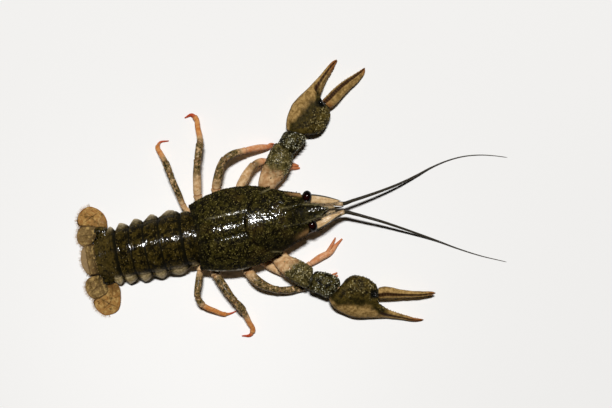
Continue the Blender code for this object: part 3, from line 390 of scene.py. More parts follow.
class Signal:
    """An output socket in a material; sums and products of signals add Math nodes."""

    def __init__(self, tree, socket):
        self.tree = tree
        self.socket = socket

    def node(self, kind, settings=None, output=0, **values):
        """One output of a new node; settings come first, then values or links by input name.

        An input's name is written with _ for each space; in0, in1 and so on go by number.
        """
        made = self.tree.nodes.new("ShaderNode" + kind)
        for key, value in (settings or {}).items():
            setattr(made, key, value)
        for key, value in values.items():
            numbered = key.startswith("in") and key[2:].isdigit()
            socket = made.inputs[int(key[2:]) if numbered else key.replace("_", " ")]
            if isinstance(value, Signal):
                self.tree.links.new(value.socket, socket)
            elif socket.type == "RGBA":
                socket.default_value = (*value, 1.0)
            else:
                socket.default_value = value
        return Signal(self.tree, made.outputs[output])

    def math(self, operation, other, turned=False):
        """A Math node on this signal and another value, the other first if turned."""
        first, second = (other, self) if turned else (self, other)
        return self.node("Math", {"operation": operation}, in0=first, in1=second)

    def __add__(self, other):
        return self.math("ADD", other)

    def __sub__(self, other):
        return self.math("SUBTRACT", other)

    def __rsub__(self, other):
        return self.math("SUBTRACT", other, turned=True)

    def __mul__(self, other):
        return self.math("MULTIPLY", other)

    __radd__ = __add__
    __rmul__ = __mul__

    def between(self, low, high):
        """0 below `low`, 1 above `high`, smooth between; falls instead where low > high."""
        return self.node("MapRange", {"interpolation_type": "SMOOTHSTEP"}, Value=self,
                         From_Min=low, From_Max=high)

    def mix(self, first, second):
        """Colour `first` where this signal is 0 and `second` where it is 1."""
        return self.node("Mix", {"data_type": "RGBA"}, output=2, in0=self, in6=first, in7=second)

    def painted(self, *coats):
        """This colour under further coats, each a mask and its colour, the last on top."""
        colour = self
        for mask, coat in coats:
            colour = mask.mix(colour, coat)
        return colour

    def noise(self, scale, detail=3.0, rough=0.5):
        """Noise from 0 to 1 on this signal's coordinates; scale is in waves a millimetre."""
        return self.node("TexNoise", Vector=self, Scale=scale / MM, Detail=detail, Roughness=rough)

    def cells(self, scale):
        """Distance to the nearest of scattered points, `scale` of them a millimetre."""
        return self.node("TexVoronoi", Vector=self, Scale=scale / MM)

    def mark(self, name):
        """A number kept at each point of the mesh."""
        return self.node("Attribute", {"attribute_name": name}, output=2)


def shell_material(name, coat=0.0, coat_roughness=0.1, shine=0.5, wet=1.5):
    """Object coordinates in a new material, as a signal, and a function that finishes it.

    `shine` is the shell's own mirror level. Over it lies a film of water with the weight
    `coat`, whose index `wet` is higher where the film has to glint more.
    """
    material = bpy.data.materials.new(name)
    material.use_nodes = True
    tree = material.node_tree
    shader = tree.nodes["Principled BSDF"]
    shader.inputs["Specular IOR Level"].default_value = shine
    shader.inputs["Coat Weight"].default_value = coat
    shader.inputs["Coat Roughness"].default_value = coat_roughness
    shader.inputs["Coat IOR"].default_value = wet
    place = Signal(tree, tree.nodes.new("ShaderNodeTexCoord").outputs["Object"])

    def dress(colour, roughness, height=None, depth=0.1, gloss=None):
        """Sets colour, roughness, a bump whose height of 1 stands `depth` millimetres, and
        the film's weight where it changes over the surface."""
        tree.links.new(colour.socket, shader.inputs["Base Color"])
        tree.links.new(roughness.socket, shader.inputs["Roughness"])
        if gloss is not None:
            tree.links.new(gloss.socket, shader.inputs["Coat Weight"])
        if height is not None:
            bump = place.node("Bump", Height=height, Distance=depth * MM, Strength=1.0)
            tree.links.new(bump.socket, shader.inputs["Normal"])
        return material

    return place, dress


def back_shell(name):
    """Olive black shell with paler grains, which shines in broken patches along `polish`.

    Marks turn it pale (`pale`, partly a painted highlight), tan (`tan`), grey (`hem`, a painted
    highlight along the right rim) or black (`dark`: painted shade in grooves, in the neck notch,
    at the rear rim and on the head's side away from the lamp, and elsewhere the shell's darker
    tone between the eyes and on the rostrum).
    """
    place, dress = shell_material(name, coat_roughness=0.15, shine=0.03, wet=2.4)
    fine = place.noise(1.1, 4.0)
    mossy = place.mark("grain").between(0.25, 0.8) * place.noise(0.95, 5.0, 0.75).between(0.49, 0.60)
    colour = place.noise(0.42, 6.0, 0.72).between(0.46, 0.57).mix(OLIVE_BLACK, OLIVE).painted(
        (place.noise(0.09).between(0.5, 0.7) * 0.3, RUST_BROWN),
        (mossy * 0.9, MOSS),
        (place.noise(0.9, 5.0, 0.75).between(0.46, 0.38), PIT_BLACK),
        # pale lines, and a painted highlight where the mark lies on the left side
        (place.mark("pale") * fine.between(0.15, 0.6), PALE_LINE_AND_HIGHLIGHT),
        (place.mark("tan") * fine.between(0.1, 0.5), TAN),
        # a painted pale highlight along the right rim
        (place.mark("hem") * fine.between(0.2, 0.5), PAINTED_RIM_HIGHLIGHT),
        # painted shade, and the darker tone of the brow and rostrum
        (place.mark("dark"), DARK_TONE_AND_SHADE))
    height = (1.0 - place.cells(1.9)) * 0.6 + fine * 0.5
    broken = place.noise(1.4, 2.0).between(0.45, 0.57)
    return dress(colour, fine * 0.2 + 0.45, height, depth=0.14, gloss=place.mark("polish") * broken)


def midline(x):
    """Sideways place of the body's middle plane at x, a shallow parabola."""
    return -1.3 + 0.029 * x - 0.000133 * x**2


def neck_groove(turn):
    """x of the neck groove at a turn from the top: 23.5 there, 38 at the widest level, pi/2,
    and a smooth 3t^2 - 2t^3 between them."""
    share = np.clip(np.abs(turn) / (math.pi / 2.0), 0.0, 1.0)
    return 23.5 + 14.5 * share**2 * (3.0 - 2.0 * share)


def neck_notch(turn):
    """A bell, 1 in the notch where the neck groove crosses the middle."""
    return bell(turn - 0.06, 0.11)


def neck_bed(x, turn):
    """Depth of the neck groove's rounded bed: a bell across it, deepest in the notch."""
    return (0.05 + 0.6 * neck_notch(turn)) * bell(x - neck_groove(turn), 0.75)


def rear_rim(turn):
    """x of the carapace's hollow rear edge, which reaches back by 1.6 sin(turn)**2."""
    return -1.6 * np.sin(np.clip(np.abs(turn), 0.0, math.pi / 2.0)) ** 2


def back_point(x, turn, inset=0.0):
    """Point of the carapace at x and a turn from the top, -pi to pi, sunk by `inset`.

    Its section is a superellipse, higher above the widest level than below it.
    """
    half = at_x(BACK_HALF_WIDTH, x) - inset
    upper = at_x(BACK_TOP, x) - inset - WIDEST_LEVEL
    lower = WIDEST_LEVEL - at_x(BACK_BOTTOM, x) - inset
    c, s = np.cos(turn), np.sin(turn)
    power = 2.0 / np.where(c > 0.0, 2.15, 2.4)
    y = midline(x) + signed_power(s, power) * half
    z = WIDEST_LEVEL + signed_power(c, power) * np.where(c > 0.0, upper, lower)
    return np.stack([x, y, z], axis=-1)


def back_grid(rear, front, rows, rear_fold, front_fold):
    """Rings of a carapace plate, folded inwards at both edges, with turn and inset.

    `rear` and `front` give each edge's x at a turn. The turns lie closer together on top.
    """
    upper = int(BACK_SIDES * UPPER_SHARE)
    turn = np.concatenate([np.linspace(-0.56, 0.56, upper, endpoint=False),
                           np.linspace(0.56, 1.44, BACK_SIDES - upper, endpoint=False)]) * math.pi
    turn = np.where(turn > math.pi, turn - 2.0 * math.pi, turn)
    front_fold = front_fold[::-1]
    first = np.stack([rear(turn) + step for step, _ in rear_fold])
    last = np.stack([front(turn) - step for step, _ in front_fold])
    share = np.linspace(0.0, 1.0, rows + 2)[1:-1, None]
    x = np.concatenate([first, first[-1] + (last[0] - first[-1]) * share, last])
    inset = np.concatenate([[i for _, i in rear_fold], np.zeros(rows), [i for _, i in front_fold]])
    turn, inset = np.broadcast_arrays(turn, inset[:, None])
    return back_point(x, turn, inset), turn, inset


def outer_face(turn, inset):
    """1 on a plate's outer face, 0 in its folds and on its underside."""
    return (inset == 0.0) * (1.0 - rise(np.abs(turn), 1.75, 1.9))


def back_spikes(x, turn, height, width, lean):
    """Spikes that stand on the carapace and lean forward by `lean` times their height."""
    x, turn = np.asarray(x, float), np.asarray(turn, float)
    height = np.reshape(height, (-1, 1))
    skin = back_point(x, turn)
    normal = unit(np.cross(back_point(x + 0.1, turn) - skin, back_point(x, turn + 0.01) - skin))
    middle = np.stack([x, midline(x), np.full_like(x, WIDEST_LEVEL)], -1)
    normal *= np.sign(np.sum(normal * (skin - middle), -1))[:, None]
    tips = skin + (normal + np.array((lean, 0.0, 0.0))) * height
    return spikes(skin - normal * 0.5, tips, width, sides=8, bend=normal * height * 0.3)


grid, turn, inset = back_grid(rear_rim, lambda turn: neck_groove(turn) + NECK_LAP, 200,
                              REAR_FOLD, NECK_FOLD)
x, y, z = np.moveaxis(grid, -1, 0)
side_step = np.abs(y - midline(x) - 0.3)
on_top = rise(z, 16.0, 21.0) * rise(x, 0.5, 5.0) * (1.0 - 0.6 * rise(x, 20.0, 24.5))
strip = np.where(side_step < FURROW, STRIP_CROWN * (1.0 - (side_step / FURROW) ** 2), 0.0)
valley = -VALLEY * np.exp(-np.maximum(side_step - FURROW, 0.0) / VALLEY_FADE) + strip
furrow = bell(side_step - FURROW, 0.33)
rim_bead = bell(x - rear_rim(turn) - 0.6, 0.5) - 1.1 * bell(x - rear_rim(turn) - 1.9, 0.55)
flank = rise(np.abs(turn), 0.6, 1.5)
# bead along the lower rim; on the right side it also bears a painted pale highlight
hem = bell(np.abs(turn) - 1.41, 0.06)
face = outer_face(turn, inset)
notch = neck_notch(turn) * bell(x - neck_groove(turn), 0.6)
near_groove = bell(x - neck_groove(turn), 0.5) * rise(np.abs(turn), 0.85, 1.15)
rear_shade = 0.6 * (1.0 - rise(x + 1.2 * lumps(grid, 1.5, seed=14), 1.0, 4.5))
# a painted highlight: a thin pale line on the left gill chamber only, on the lamp's side
streak = bell(side_step - 7.0, 0.45) * (y > 0) * rise(x, 4.0, 9.0) * (1.0 - rise(x, 19.0, 23.0))
shiny = largest(bell(y - midline(x) - 1.7, 1.7) * rise(x, 4.0, 10.0),
                0.28 * bell(y - midline(x) - 7.3, 0.45) * rise(x, 5.0, 12.0),
                0.5 * bell(y - midline(x) + 3.7, 0.6) * rise(x, 5.0, 9.0))
grain = grains(grid, 0.82, seed=3)
fine_grain = grains(grid, 0.5, seed=4)
wrinkles = grains(grid * ACROSS, 0.5, seed=12)
shape = (on_top * (valley - 0.22 * furrow) + 0.08 * rim_bead + 0.32 * hem
         + face * ((0.13 + 0.24 * flank) * (1.0 - 0.75 * shiny) * grain + 0.05 * fine_grain)
         + face * 0.10 * shiny * wrinkles + 0.10 * lumps(grid, 3.1, seed=5) * face
         - neck_bed(x, turn))
# Painted light: `dark` is painted shade in the furrows, the neck notch and along the rear rim; `pale` on
# the left streak is a painted highlight; `hem` is a painted highlight on the right rim.
thorax = closed(raised(grid, shape), grain=grain * face, polish=shiny * face,
                pale=largest(0.7 * near_groove, 0.45 * streak),
                dark=largest(0.7 * on_top * furrow, rear_shade, 0.8 * notch),
                hem=hem * (y < 0) * rise(x, -1.0, 3.0) * (1.0 - rise(x, 17.0, 25.0)))
shoulder = [back_spikes(neck_groove(side * SHOULDER_TURNS) - 1.7 + 0.3 * np.sin(9 * SHOULDER_TURNS),
                        side * SHOULDER_TURNS, SHOULDER_HEIGHTS, 0.42 + 0.12 * SHOULDER_HEIGHTS, 0.6)
            for side in (1, -1)]
piece("carapace_rear", [thorax] + shoulder, back_shell("olive_shell_rear"), "back_shell",
      "carapace_thorax")


# Head shield and rostrum
# The carapace ahead of the neck groove, drawn out between the eyes into a long trough with
# raised, toothed rims. Ridges that end in a spine stand behind each eye.

FRONT_FOLD = [(3.5, 2.6), (1.6, 1.8), (0.5, 1.1), (0.1, 0.7), (-0.02, 0.35), (0.06, 0.1),
              (0.3, 0.0)]
TROUGH_HALF = 4.2               # half width of the trough that leads to the rostrum
ROSTRUM_SHIFT = 0.5             # the rostrum points a little to the left
# x, half width, level of the middle, half thickness
ROSTRUM_KEYS = [(40.0, 4.2, 20.6, 1.2), (47.0, 5.1, 20.3, 1.5), (51.4, 4.9, 19.6, 1.5),
                (54.0, 4.3, 19.2, 1.4), (57.0, 3.7, 18.9, 1.25), (59.0, 2.6, 18.8, 1.1),
                (61.0, 1.1, 18.9, 0.8), (63.0, 0.25, 19.3, 0.3)]
RIM_TEETH = np.array((48.4, 50.2, 51.8, 53.3, 54.8))
# x, turn from the top, height, half width
RIDGE_SPINES = [(47.3, 0.60, 0.75, 0.5), (36.9, 0.66, 0.6, 0.42)]
CHEEK_SPINES = [(38.5, 1.42, 0.5, 0.42), (40.6, 1.36, 0.7, 0.42), (42.8, 1.30, 0.5, 0.42),
                (44.9, 1.28, 0.7, 0.42), (47.0, 1.30, 0.6, 0.42), (49.0, 1.36, 0.8, 0.42)]


def head_front(turn):
    """x of the head shield's front rim: hollowed behind each eye and cut back below."""
    away = np.abs(turn)
    return 51.4 + 0.9 * bell(away - 0.72, 0.3) - 6.0 * rise(away, 1.75, 2.6)


grid, turn, inset = back_grid(lambda turn: neck_groove(turn) - NECK_LAP, head_front, 170,
                              NECK_FOLD, FRONT_FOLD)
x, y, z = np.moveaxis(grid, -1, 0)
left = y > 0
away = np.abs(turn)
off_middle = y - midline(x)
beside = np.abs(off_middle - ROSTRUM_SHIFT)
face = outer_face(turn, inset)
rear_ridge = bell(away - 0.66, 0.045) * rise(x, 31.5, 33.5) * (1.0 - rise(x, 36.6, 37.4))
front_ridge = bell(away - 0.60, 0.05) * rise(x, 39.5, 42.0) * (1.0 - rise(x, 47.2, 48.0))
keel = bell(beside - TROUGH_HALF, 0.5) * rise(x, 38.5, 43.0)
trough = (1.0 - (np.minimum(beside, TROUGH_HALF) / TROUGH_HALF) ** 2) * rise(x, 39.0, 47.0)
crown = (-0.35 * rise(np.abs(off_middle), 1.0, 5.5) * (1.0 - rise(x, 36.0, 42.0))
         * rise(z, 15.0, 19.0))
notch = neck_notch(turn) * bell(x - neck_groove(turn), 0.6)
near_groove = bell(x - neck_groove(turn), 0.45) * rise(away, 0.85, 1.15)
cheek = (rise(x, 42.5, 50.0) * np.where(left, 1.0, 0.8) * rise(z, 8.0, 12.0)
         * bell(np.abs(off_middle) - at_x(BACK_HALF_WIDTH, x) + np.where(left, 0.9, 1.9),
                np.where(left, 0.8, 1.3)))
brow = 0.45 * rise(x, 42.0, 46.0) * (1.0 - rise(np.abs(off_middle), 6.0, 8.0))
shiny = largest(bell(off_middle - 2.0, 1.8) * (1.0 - rise(x, 38.0, 44.0)),
                0.7 * bell(np.hypot(x - 39.0, y - 7.5), 2.4),
                0.6 * bell(np.hypot(x - 39.0, y + 3.5), 2.4))
wet = largest(shiny, bell(off_middle - 2.4, 1.9) * (1.0 - rise(x, 41.0, 45.0)),
              0.8 * bell(off_middle - 1.7, 0.8) * rise(x, 45.5, 46.5))
grain = grains(grid, 0.82, seed=6)
shape = (0.42 * (rear_ridge + front_ridge) + 0.45 * keel - 0.4 * trough + crown
         + face * (0.15 * grain * (1.0 - 0.6 * shiny) + 0.05 * grains(grid, 0.5, seed=7)
                   + 0.10 * shiny * grains(grid * ACROSS, 0.5, seed=13)
                   + 0.10 * lumps(grid, 2.6, seed=8))
         - neck_bed(x, turn))
# Painted light: `dark` is painted shade in the neck notch and on the head's right side, away from the
# lamp, and the shell's own darker tone between the eyes; `pale` on the left keel is partly a painted
# highlight.
head = closed(raised(grid, shape), grain=grain * face, polish=face * wet, tan=0.9 * cheek,
              pale=largest(0.8 * near_groove, np.where(left, 0.4, 0.15) * keel),
              dark=largest(0.85 * notch, brow * face,
                           0.55 * face * rise(-off_middle, 4.5, 10.0) * (1.0 - cheek)))

x = np.linspace(ROSTRUM_KEYS[0][0], ROSTRUM_KEYS[-1][0], 130)
half, level, thick = through(ROSTRUM_KEYS, x).T[..., None]
x = x[:, None]
c, s = np.cos(ring_angles(84)), np.sin(ring_angles(84))
on_top = s > 0.0
rims = bell(np.abs(c) - 0.84, 0.15) * rise(x, 43.0, 47.0)
carina = bell(c, 0.13) * rise(x, 52.0, 57.0)
lift = thick * np.where(on_top, (0.40 + 0.85 * rims + 0.25 * carina) * np.abs(s) ** 0.55,
                        -np.abs(s) ** 0.8)
across = midline(x) + ROSTRUM_SHIFT + half * signed_power(c, 0.85)
grid = np.stack(np.broadcast_arrays(x, across, level + lift), -1)
grain = grains(grid, 0.6, seed=9) * on_top
grid = raised(grid, 0.07 * grain + 0.08 * lumps(grid, 1.7, seed=10))
wet = 0.8 * bell(grid[..., 1] - midline(x) - 1.2, 0.9) * (1.0 - 0.6 * rise(x, 52.5, 55.0))
rostrum = closed(grid, grain=grain, pale=0.45 * rims * on_top * rise(x, 50.0, 53.0),
                 dark=0.5 * (1.0 - 0.7 * rims) * on_top, polish=wet + 0.4 * rims * on_top)

rim_half, rim_level, rim_thick = through(ROSTRUM_KEYS, RIM_TEETH).T
tip_middle = midline(57.0) + ROSTRUM_SHIFT
teeth = []
for side in (1, -1):
    rim = np.stack([RIM_TEETH, midline(RIM_TEETH) + ROSTRUM_SHIFT + side * rim_half * 0.95,
                    rim_level + rim_thick * 0.5], -1)
    teeth.append(spikes(rim, rim + (0.75, side * 0.42, 0.35), 0.32, bend=(0, side * 0.25, 0),
                        pale=0.4))
    teeth.append(spikes((56.6, tip_middle + side * 2.7, 19.5), (60.1, tip_middle + side * 3.15, 20.1),
                        0.75, bend=(0, side * 0.5, 0.2), pale=0.5))
    for rows, lean in ((RIDGE_SPINES, 1.7), (CHEEK_SPINES, 0.8)):
        spine_x, spine_turn, height, width = np.transpose(rows)
        teeth.append(back_spikes(spine_x, side * spine_turn, height, width, lean))
piece("carapace_front", [head, rostrum] + teeth, back_shell("olive_shell_front"), "back_shell",
      "carapace_head")


# Eyes
# Each is a smooth black ball of many lenses on a short, movable stalk that comes out from
# under the rostrum's rim. A little red eyeshine is painted into the top of the ball.

# middle of each eye, and the way its stalk points in degrees
EYES = {"left": ((54.0, 7.8, 16.4), 72.0), "right": ((54.1, -5.9, 16.4), -75.0)}
EYE_HALF_LENGTH, EYE_HALF_WIDTH = 2.95, 2.3
# middle of the painted red eyeshine, from the eye's middle
EYESHINE_SPOT = (-0.3, -0.2, 2.0)   # where the red glow lies, from the eye's middle
# distance along the stalk from the eye's middle, and half width there
STALK_WIDTHS = [(-5.8, 1.0), (-4.6, 1.3), (-3.4, 1.55), (-2.6, 1.85), (-2.1, 1.95), (-1.6, 1.6)]
# black of the lens, and red of its painted eyeshine
LENS_BLACK, EYESHINE_RED = (0.0014, 0.0010, 0.0010), (0.085, 0.006, 0.003)
STALK_BLACK, STALK_BROWN = (0.015, 0.012, 0.006), (0.10, 0.075, 0.04)


def turned_on(centre, heading, reach, width, sides):
    """Rings of a form turned on a level line: each has its reach along it and half width."""
    ahead = np.array([math.cos(heading), math.sin(heading), 0.0])
    side = np.array([-ahead[1], ahead[0], 0.0])
    angle = ring_angles(sides)
    rim = np.cos(angle)[:, None] * side + np.sin(angle)[:, None] * np.array([0.0, 0.0, 1.0])
    return (np.array(centre) + ahead * np.reshape(reach, (-1, 1, 1))
            + rim * np.reshape(width, (-1, 1, 1)))


def egg(centre, heading, half_length, half_width, rows, sides):
    """Rings of an ellipsoid: their reach goes by the sine of a turn, their width by its cosine."""
    bend = np.linspace(-0.49, 0.49, rows) * np.pi
    return turned_on(centre, heading, np.sin(bend) * half_length, np.cos(bend) * half_width, sides)


place, dress = shell_material("eye_lens", coat=0.4, coat_roughness=0.03, shine=0.05)
# the lens's colour holds a painted red eyeshine near its top
eye_lens = dress((place.mark("glow") * 0.2).mix(LENS_BLACK, EYESHINE_RED),
                 place.noise(2.0) * 0.05 + 0.07, place.cells(5.5), depth=0.015)
place, dress = shell_material("stalk_skin", coat=0.2)
stalk_skin = dress(place.noise(1.2).between(0.35, 0.65).mix(STALK_BLACK, STALK_BROWN),
                   place.noise(2.0) * 0.3 + 0.3, place.noise(3.0), depth=0.1)
for label, (centre, heading) in EYES.items():
    centre, heading = np.array(centre), math.radians(heading)
    ball = egg(centre, heading, EYE_HALF_LENGTH, EYE_HALF_WIDTH, 56, 64)
    eyeshine_patch = bell(np.linalg.norm(ball - (centre + EYESHINE_SPOT), axis=-1), 1.1)
    piece(f"eyeball_{label}", [closed(ball, glow=eyeshine_patch)], eye_lens, "eye_horn", f"eye_{label}")
    reach = np.linspace(STALK_WIDTHS[0][0], STALK_WIDTHS[-1][0], 24)
    stalk = turned_on(centre - (0, 0, 0.3), heading, reach, at_x(STALK_WIDTHS, reach), 40)
    piece(f"stalk_{label}", [closed(stalk)], stalk_skin, "leg_shell", f"eyestalk_{label}")


# Feelers
# Each long feeler is a whip of many short rings on a stout, three-jointed base. A flat, pale
# scale with a dark outer edge lies over the base; two pairs of short feelers hang between.

# x, y, z, half width, from the head outwards; the whip starts at WHIP_START
ANTENNAE = {
    "left": [(51.9, 6.8, 10.6, 2.4), (55.0, 6.1, 10.6, 2.4), (60.0, 4.4, 10.9, 2.0),
             (64.5, 2.9, 11.0, 1.6), (67.5, 2.05, 11.0, 1.2), (70.2, 1.4, 11.0, 1.0),
             (75.0, 2.0, 10.5, 0.82), (82.0, 2.9, 9.2, 0.75), (90.0, 4.1, 7.2, 0.68),
             (100.0, 6.1, 4.6, 0.58), (108.0, 8.3, 2.4, 0.48), (116.0, 10.8, 0.8, 0.39),
             (124.0, 12.5, 0.32, 0.32), (131.0, 13.1, 0.27, 0.27), (140.0, 12.3, 0.22, 0.22),
             (147.0, 10.6, 0.18, 0.18), (152.8, 8.7, 0.14, 0.14)],
    "right": [(51.9, -7.2, 10.6, 2.4), (55.0, -6.7, 10.6, 2.4), (60.0, -5.2, 10.9, 2.0),
              (64.5, -3.9, 11.0, 1.6), (67.5, -3.1, 11.0, 1.35), (70.2, -2.7, 11.0, 1.05),
              (75.0, -4.5, 10.5, 0.82), (80.0, -6.9, 9.6, 0.75), (87.0, -10.4, 7.9, 0.68),
              (95.0, -14.8, 5.6, 0.6), (104.0, -19.9, 3.0, 0.50), (112.0, -24.6, 1.0, 0.42),
              (120.0, -29.5, 0.33, 0.33), (130.5, -35.2, 0.24, 0.24), (143.2, -40.9, 0.14, 0.14)]}
WHIP_START = 5
WHIP_RING = 0.62                # length of one ring of the whip
BASE_SIDES = 34
# edge x, y, other edge x, y, middle z, half thickness, from the root to the tip
SCALES = {
    "left": [(52.4, 9.3, 52.4, 4.9, 12.6, 0.5), (56.2, 8.5, 56.0, 4.7, 13.7, 0.5),
             (59.0, 7.7, 59.0, 3.9, 14.1, 0.5), (63.0, 6.2, 63.0, 3.0, 13.9, 0.45),
             (66.5, 4.5, 66.3, 2.7, 13.5, 0.4), (68.7, 3.3, 68.5, 2.9, 13.2, 0.3)],
    "right": [(53.4, -9.2, 53.4, -4.6, 12.9, 0.5), (56.2, -8.5, 56.0, -4.3, 13.7, 0.5),
              (59.0, -7.6, 59.0, -3.6, 14.1, 0.5), (63.0, -5.8, 63.0, -2.8, 13.9, 0.45),
              (66.0, -4.2, 65.8, -2.6, 13.5, 0.4), (68.2, -3.2, 68.0, -2.8, 13.2, 0.3)]}
SCALE_SIDES = 64
SCALE_HAIRS = 120
PATCH = 0.003                   # breadth of one hair's patch on its map
# short feelers: x, the pair's middle y, step to its own side, z, half width
SHORT_BASE = [(51.9, -0.1, 1.9, 12.8, 1.1), (57.0, -0.1, 1.7, 13.8, 1.15),
              (62.0, -0.3, 1.3, 14.2, 0.95), (65.6, -0.4, 0.95, 13.4, 0.6)]
SHORT_WHIPS = [[(65.0, -0.4, 0.98, 13.6, 0.55), (67.6, -0.5, 0.6, 11.9, 0.38),
                (68.8, -0.5, 0.5, 9.6, 0.3), (69.7, -0.5, 0.5, 7.0, 0.28),
                (70.4, -0.5, 0.55, 4.6, 0.2)],
               [(65.0, -0.4, 0.9, 13.4, 0.45), (66.4, -0.45, 0.62, 11.0, 0.32),
                (66.9, -0.45, 0.6, 8.7, 0.28), (67.5, -0.45, 0.62, 6.4, 0.2)]]
SHORT_RING = 0.45

WHIP_BLACK, WHIP_GREY = (0.010, 0.008, 0.004), (0.036, 0.031, 0.024)
RING_BROWN = (0.09, 0.066, 0.030)
SHORT_OLIVE, SHORT_PEACH = (0.05, 0.042, 0.016), (0.36, 0.26, 0.14)
SCALE_CREAM, SCALE_PALE = (0.50, 0.32, 0.145), (0.66, 0.47, 0.25)
SCALE_STREAK, SCALE_EDGE = (0.36, 0.19, 0.08), (0.020, 0.018, 0.008)
BASE_BROWN, BASE_PALE = (0.42, 0.26, 0.12), (0.56, 0.40, 0.22)
BASE_ROOT, BASE_EDGE, BASE_JOINT = (0.11, 0.085, 0.022), (0.05, 0.045, 0.018), (0.10, 0.07, 0.03)


def run_length(points):
    """Distance along a path from its first point to each point, by their x, y and z alone."""
    steps = np.diff(np.asarray(points, float)[:, :3], axis=0)
    return np.concatenate([[0.0], np.cumsum(np.linalg.norm(steps, axis=1))])


def limb(keys, at, sides, girth=1.0, tall=1.0):
    """Rings of a round limb at distances `at` along its path, `girth` times its own width.

    Each key is (x, y, z, half width). The section is an ellipse square to the path, `tall`
    times as high as it is wide. Past its ends the limb runs straight on.
    """
    run = run_length(keys)
    keys = np.asarray(keys, float)
    path = np.column_stack([run, keys[:, :3]])
    middle = through(path, at, limited=False)
    inner = np.clip(at, 0.1, run[-1] - 0.1)
    ahead = unit(through(path, inner + 0.1, limited=False) - through(path, inner - 0.1, limited=False))
    middle = middle + ahead * (at - np.clip(at, 0.0, run[-1]))[:, None]
    width = through(np.column_stack([run, keys[:, 3]]), at)[:, 0] * girth
    side = unit(np.cross((0.0, 0.0, 1.0), ahead))
    above = np.cross(ahead, side)
    angle = ring_angles(sides)[:, None]
    rings = (middle[:, None] + np.cos(angle) * (side * width[:, None])[:, None]
             + np.sin(angle) * (above * width[:, None])[:, None] * tall)
    rings[..., 2] = np.maximum(rings[..., 2], 0.0)
    return rings


def jointed(keys, cuts, sides, flare, tall=1.0, gap=0.33, **marks):
    """Closed joints of a limb, one between each two cuts along it.

    A joint grows from 0.55 to its whole width where it sits in the joint before, and flares
    by a bell of height `flare` at its end.
    """
    total = run_length(keys)[-1]
    forms = []
    for start, end, wider in zip(cuts, cuts[1:], np.broadcast_to(flare, len(cuts) - 1)):
        at = np.linspace(start - 0.9, end + 0.1, max(10, int((end - start + 1.0) / gap)))
        girth = (0.55 + 0.45 * rise(at, start - 1.0, start + 1.3)) * (1.0 + wider * bell(at - end, 1.3))
        at = np.concatenate([at, [end + 0.25, end + 0.2]])
        girth = np.concatenate([girth, [girth[-1] * 0.93, girth[-1] * 0.7]])
        joint = largest(bell(at - start, 0.8), 0.6 * bell(at - end - 0.3, 0.45))
        forms.append(closed(limb(keys, at, sides, girth, tall), along=(at / total)[:, None],
                            joint=joint[:, None], **marks))
    return forms


def ringed(keys, at, ring, sides, start=0.0, ends=1.0):
    """Closed whip whose width is 1 + 0.07 cos(2 pi at / ring) times its own, so once a ring."""
    phase = np.cos(2.0 * np.pi * at / ring)
    share = (at - start) / (run_length(keys)[-1] - start)
    return closed(limb(keys, at, sides, (1.0 + 0.07 * phase) * ends), along=share[:, None],
                  ring=(0.5 + 0.5 * phase)[:, None])


def mirrored(rows, side):
    """Keys of a limb at one side (1 or -1), from rows that give y as a middle and a step."""
    return [(x, middle + side * step, z, width) for x, middle, step, z, width in rows]


def flat_middle(keys):
    """Middle of a flat limb at each of its keys."""
    keys = np.atleast_2d(np.asarray(keys, float))
    return np.column_stack([(keys[:, 0:2] + keys[:, 2:4]) / 2.0, keys[:, 4]])


def flat_run(keys):
    """Distance along a flat limb, as seen from above, at each of its keys."""
    return run_length(flat_middle(keys)[:, :2])


def flat_place(keys, at):
    """Middle, reach to the first edge and lift to the top at distances along a flat limb."""
    row = through(np.column_stack([flat_run(keys), keys]), at)
    none = np.zeros(len(row))
    return (flat_middle(row), np.column_stack([(row[:, 0:2] - row[:, 2:4]) / 2.0, none]),
            np.column_stack([none, none, row[:, 5]]))


def flat_limb(keys, rows, sides, power, root, tip=(0.0, 1.0)):
    """Rings of a flat limb drawn by its two edges as seen from above, and three numbers.

    Each key is (edge x, edge y, other edge x, other edge y, middle z, half thickness). The
    section is a superellipse, and the rings lie closer together at both ends. `root` and
    `tip` give the length over which an end is rounded off, and its size. The numbers are the
    share of the length, the place across (1 at the first edge) and up (1 on top).
    """
    total = flat_run(keys)[-1]
    even = np.linspace(0.0, 1.0, rows)
    at = total * (0.35 * (1.0 - np.cos(np.pi * even)) / 2.0 + 0.65 * even)
    size = np.ones(rows)
    for away, (length, least) in ((at, root), (total - at, tip)):
        if length:
            size *= least + (1.0 - least) * np.sqrt(1.0 - (1.0 - np.clip(away / length, 0, 1)) ** 2)
    size = size[:, None, None]
    middle, reach, lift = (part[:, None] for part in flat_place(keys, at))
    angle = ring_angles(sides)
    across, up = signed_power(np.cos(angle), 2.0 / power), signed_power(np.sin(angle), 2.0 / power)
    rings = middle + across[:, None] * reach * size + up[:, None] * lift * size
    return rings, *np.broadcast_arrays((at / total)[:, None], across, up)


def hairs(roots, tips, width, u, v, bend=None):
    """Thin three-sided hairs, with the place of each root on the skin's unwrap."""
    points, quads, tris, marks = spikes(roots, tips, width, sides=3, bend=bend, shares=(0.0, 0.5, 1.0),
                                        taper=(1.0, 0.7, 0.08))
    count = len(roots)
    u, v = (np.repeat(np.broadcast_to(share, count), len(points) // count) for share in (u, v))
    turn = np.tile(np.concatenate([np.tile([0.0, 0.33, 0.67], 3), [0.3, 0.3]]), count)
    marks["bake_u"] = 0.01 + 0.98 * np.clip(u, 0.0, 1.0) + PATCH * (turn - 0.33)
    marks["bake_v"] = 0.01 + 0.98 * np.clip(v, 0.0, 1.0) + PATCH * (marks["tip"] - 0.5)
    return points, quads, tris, marks


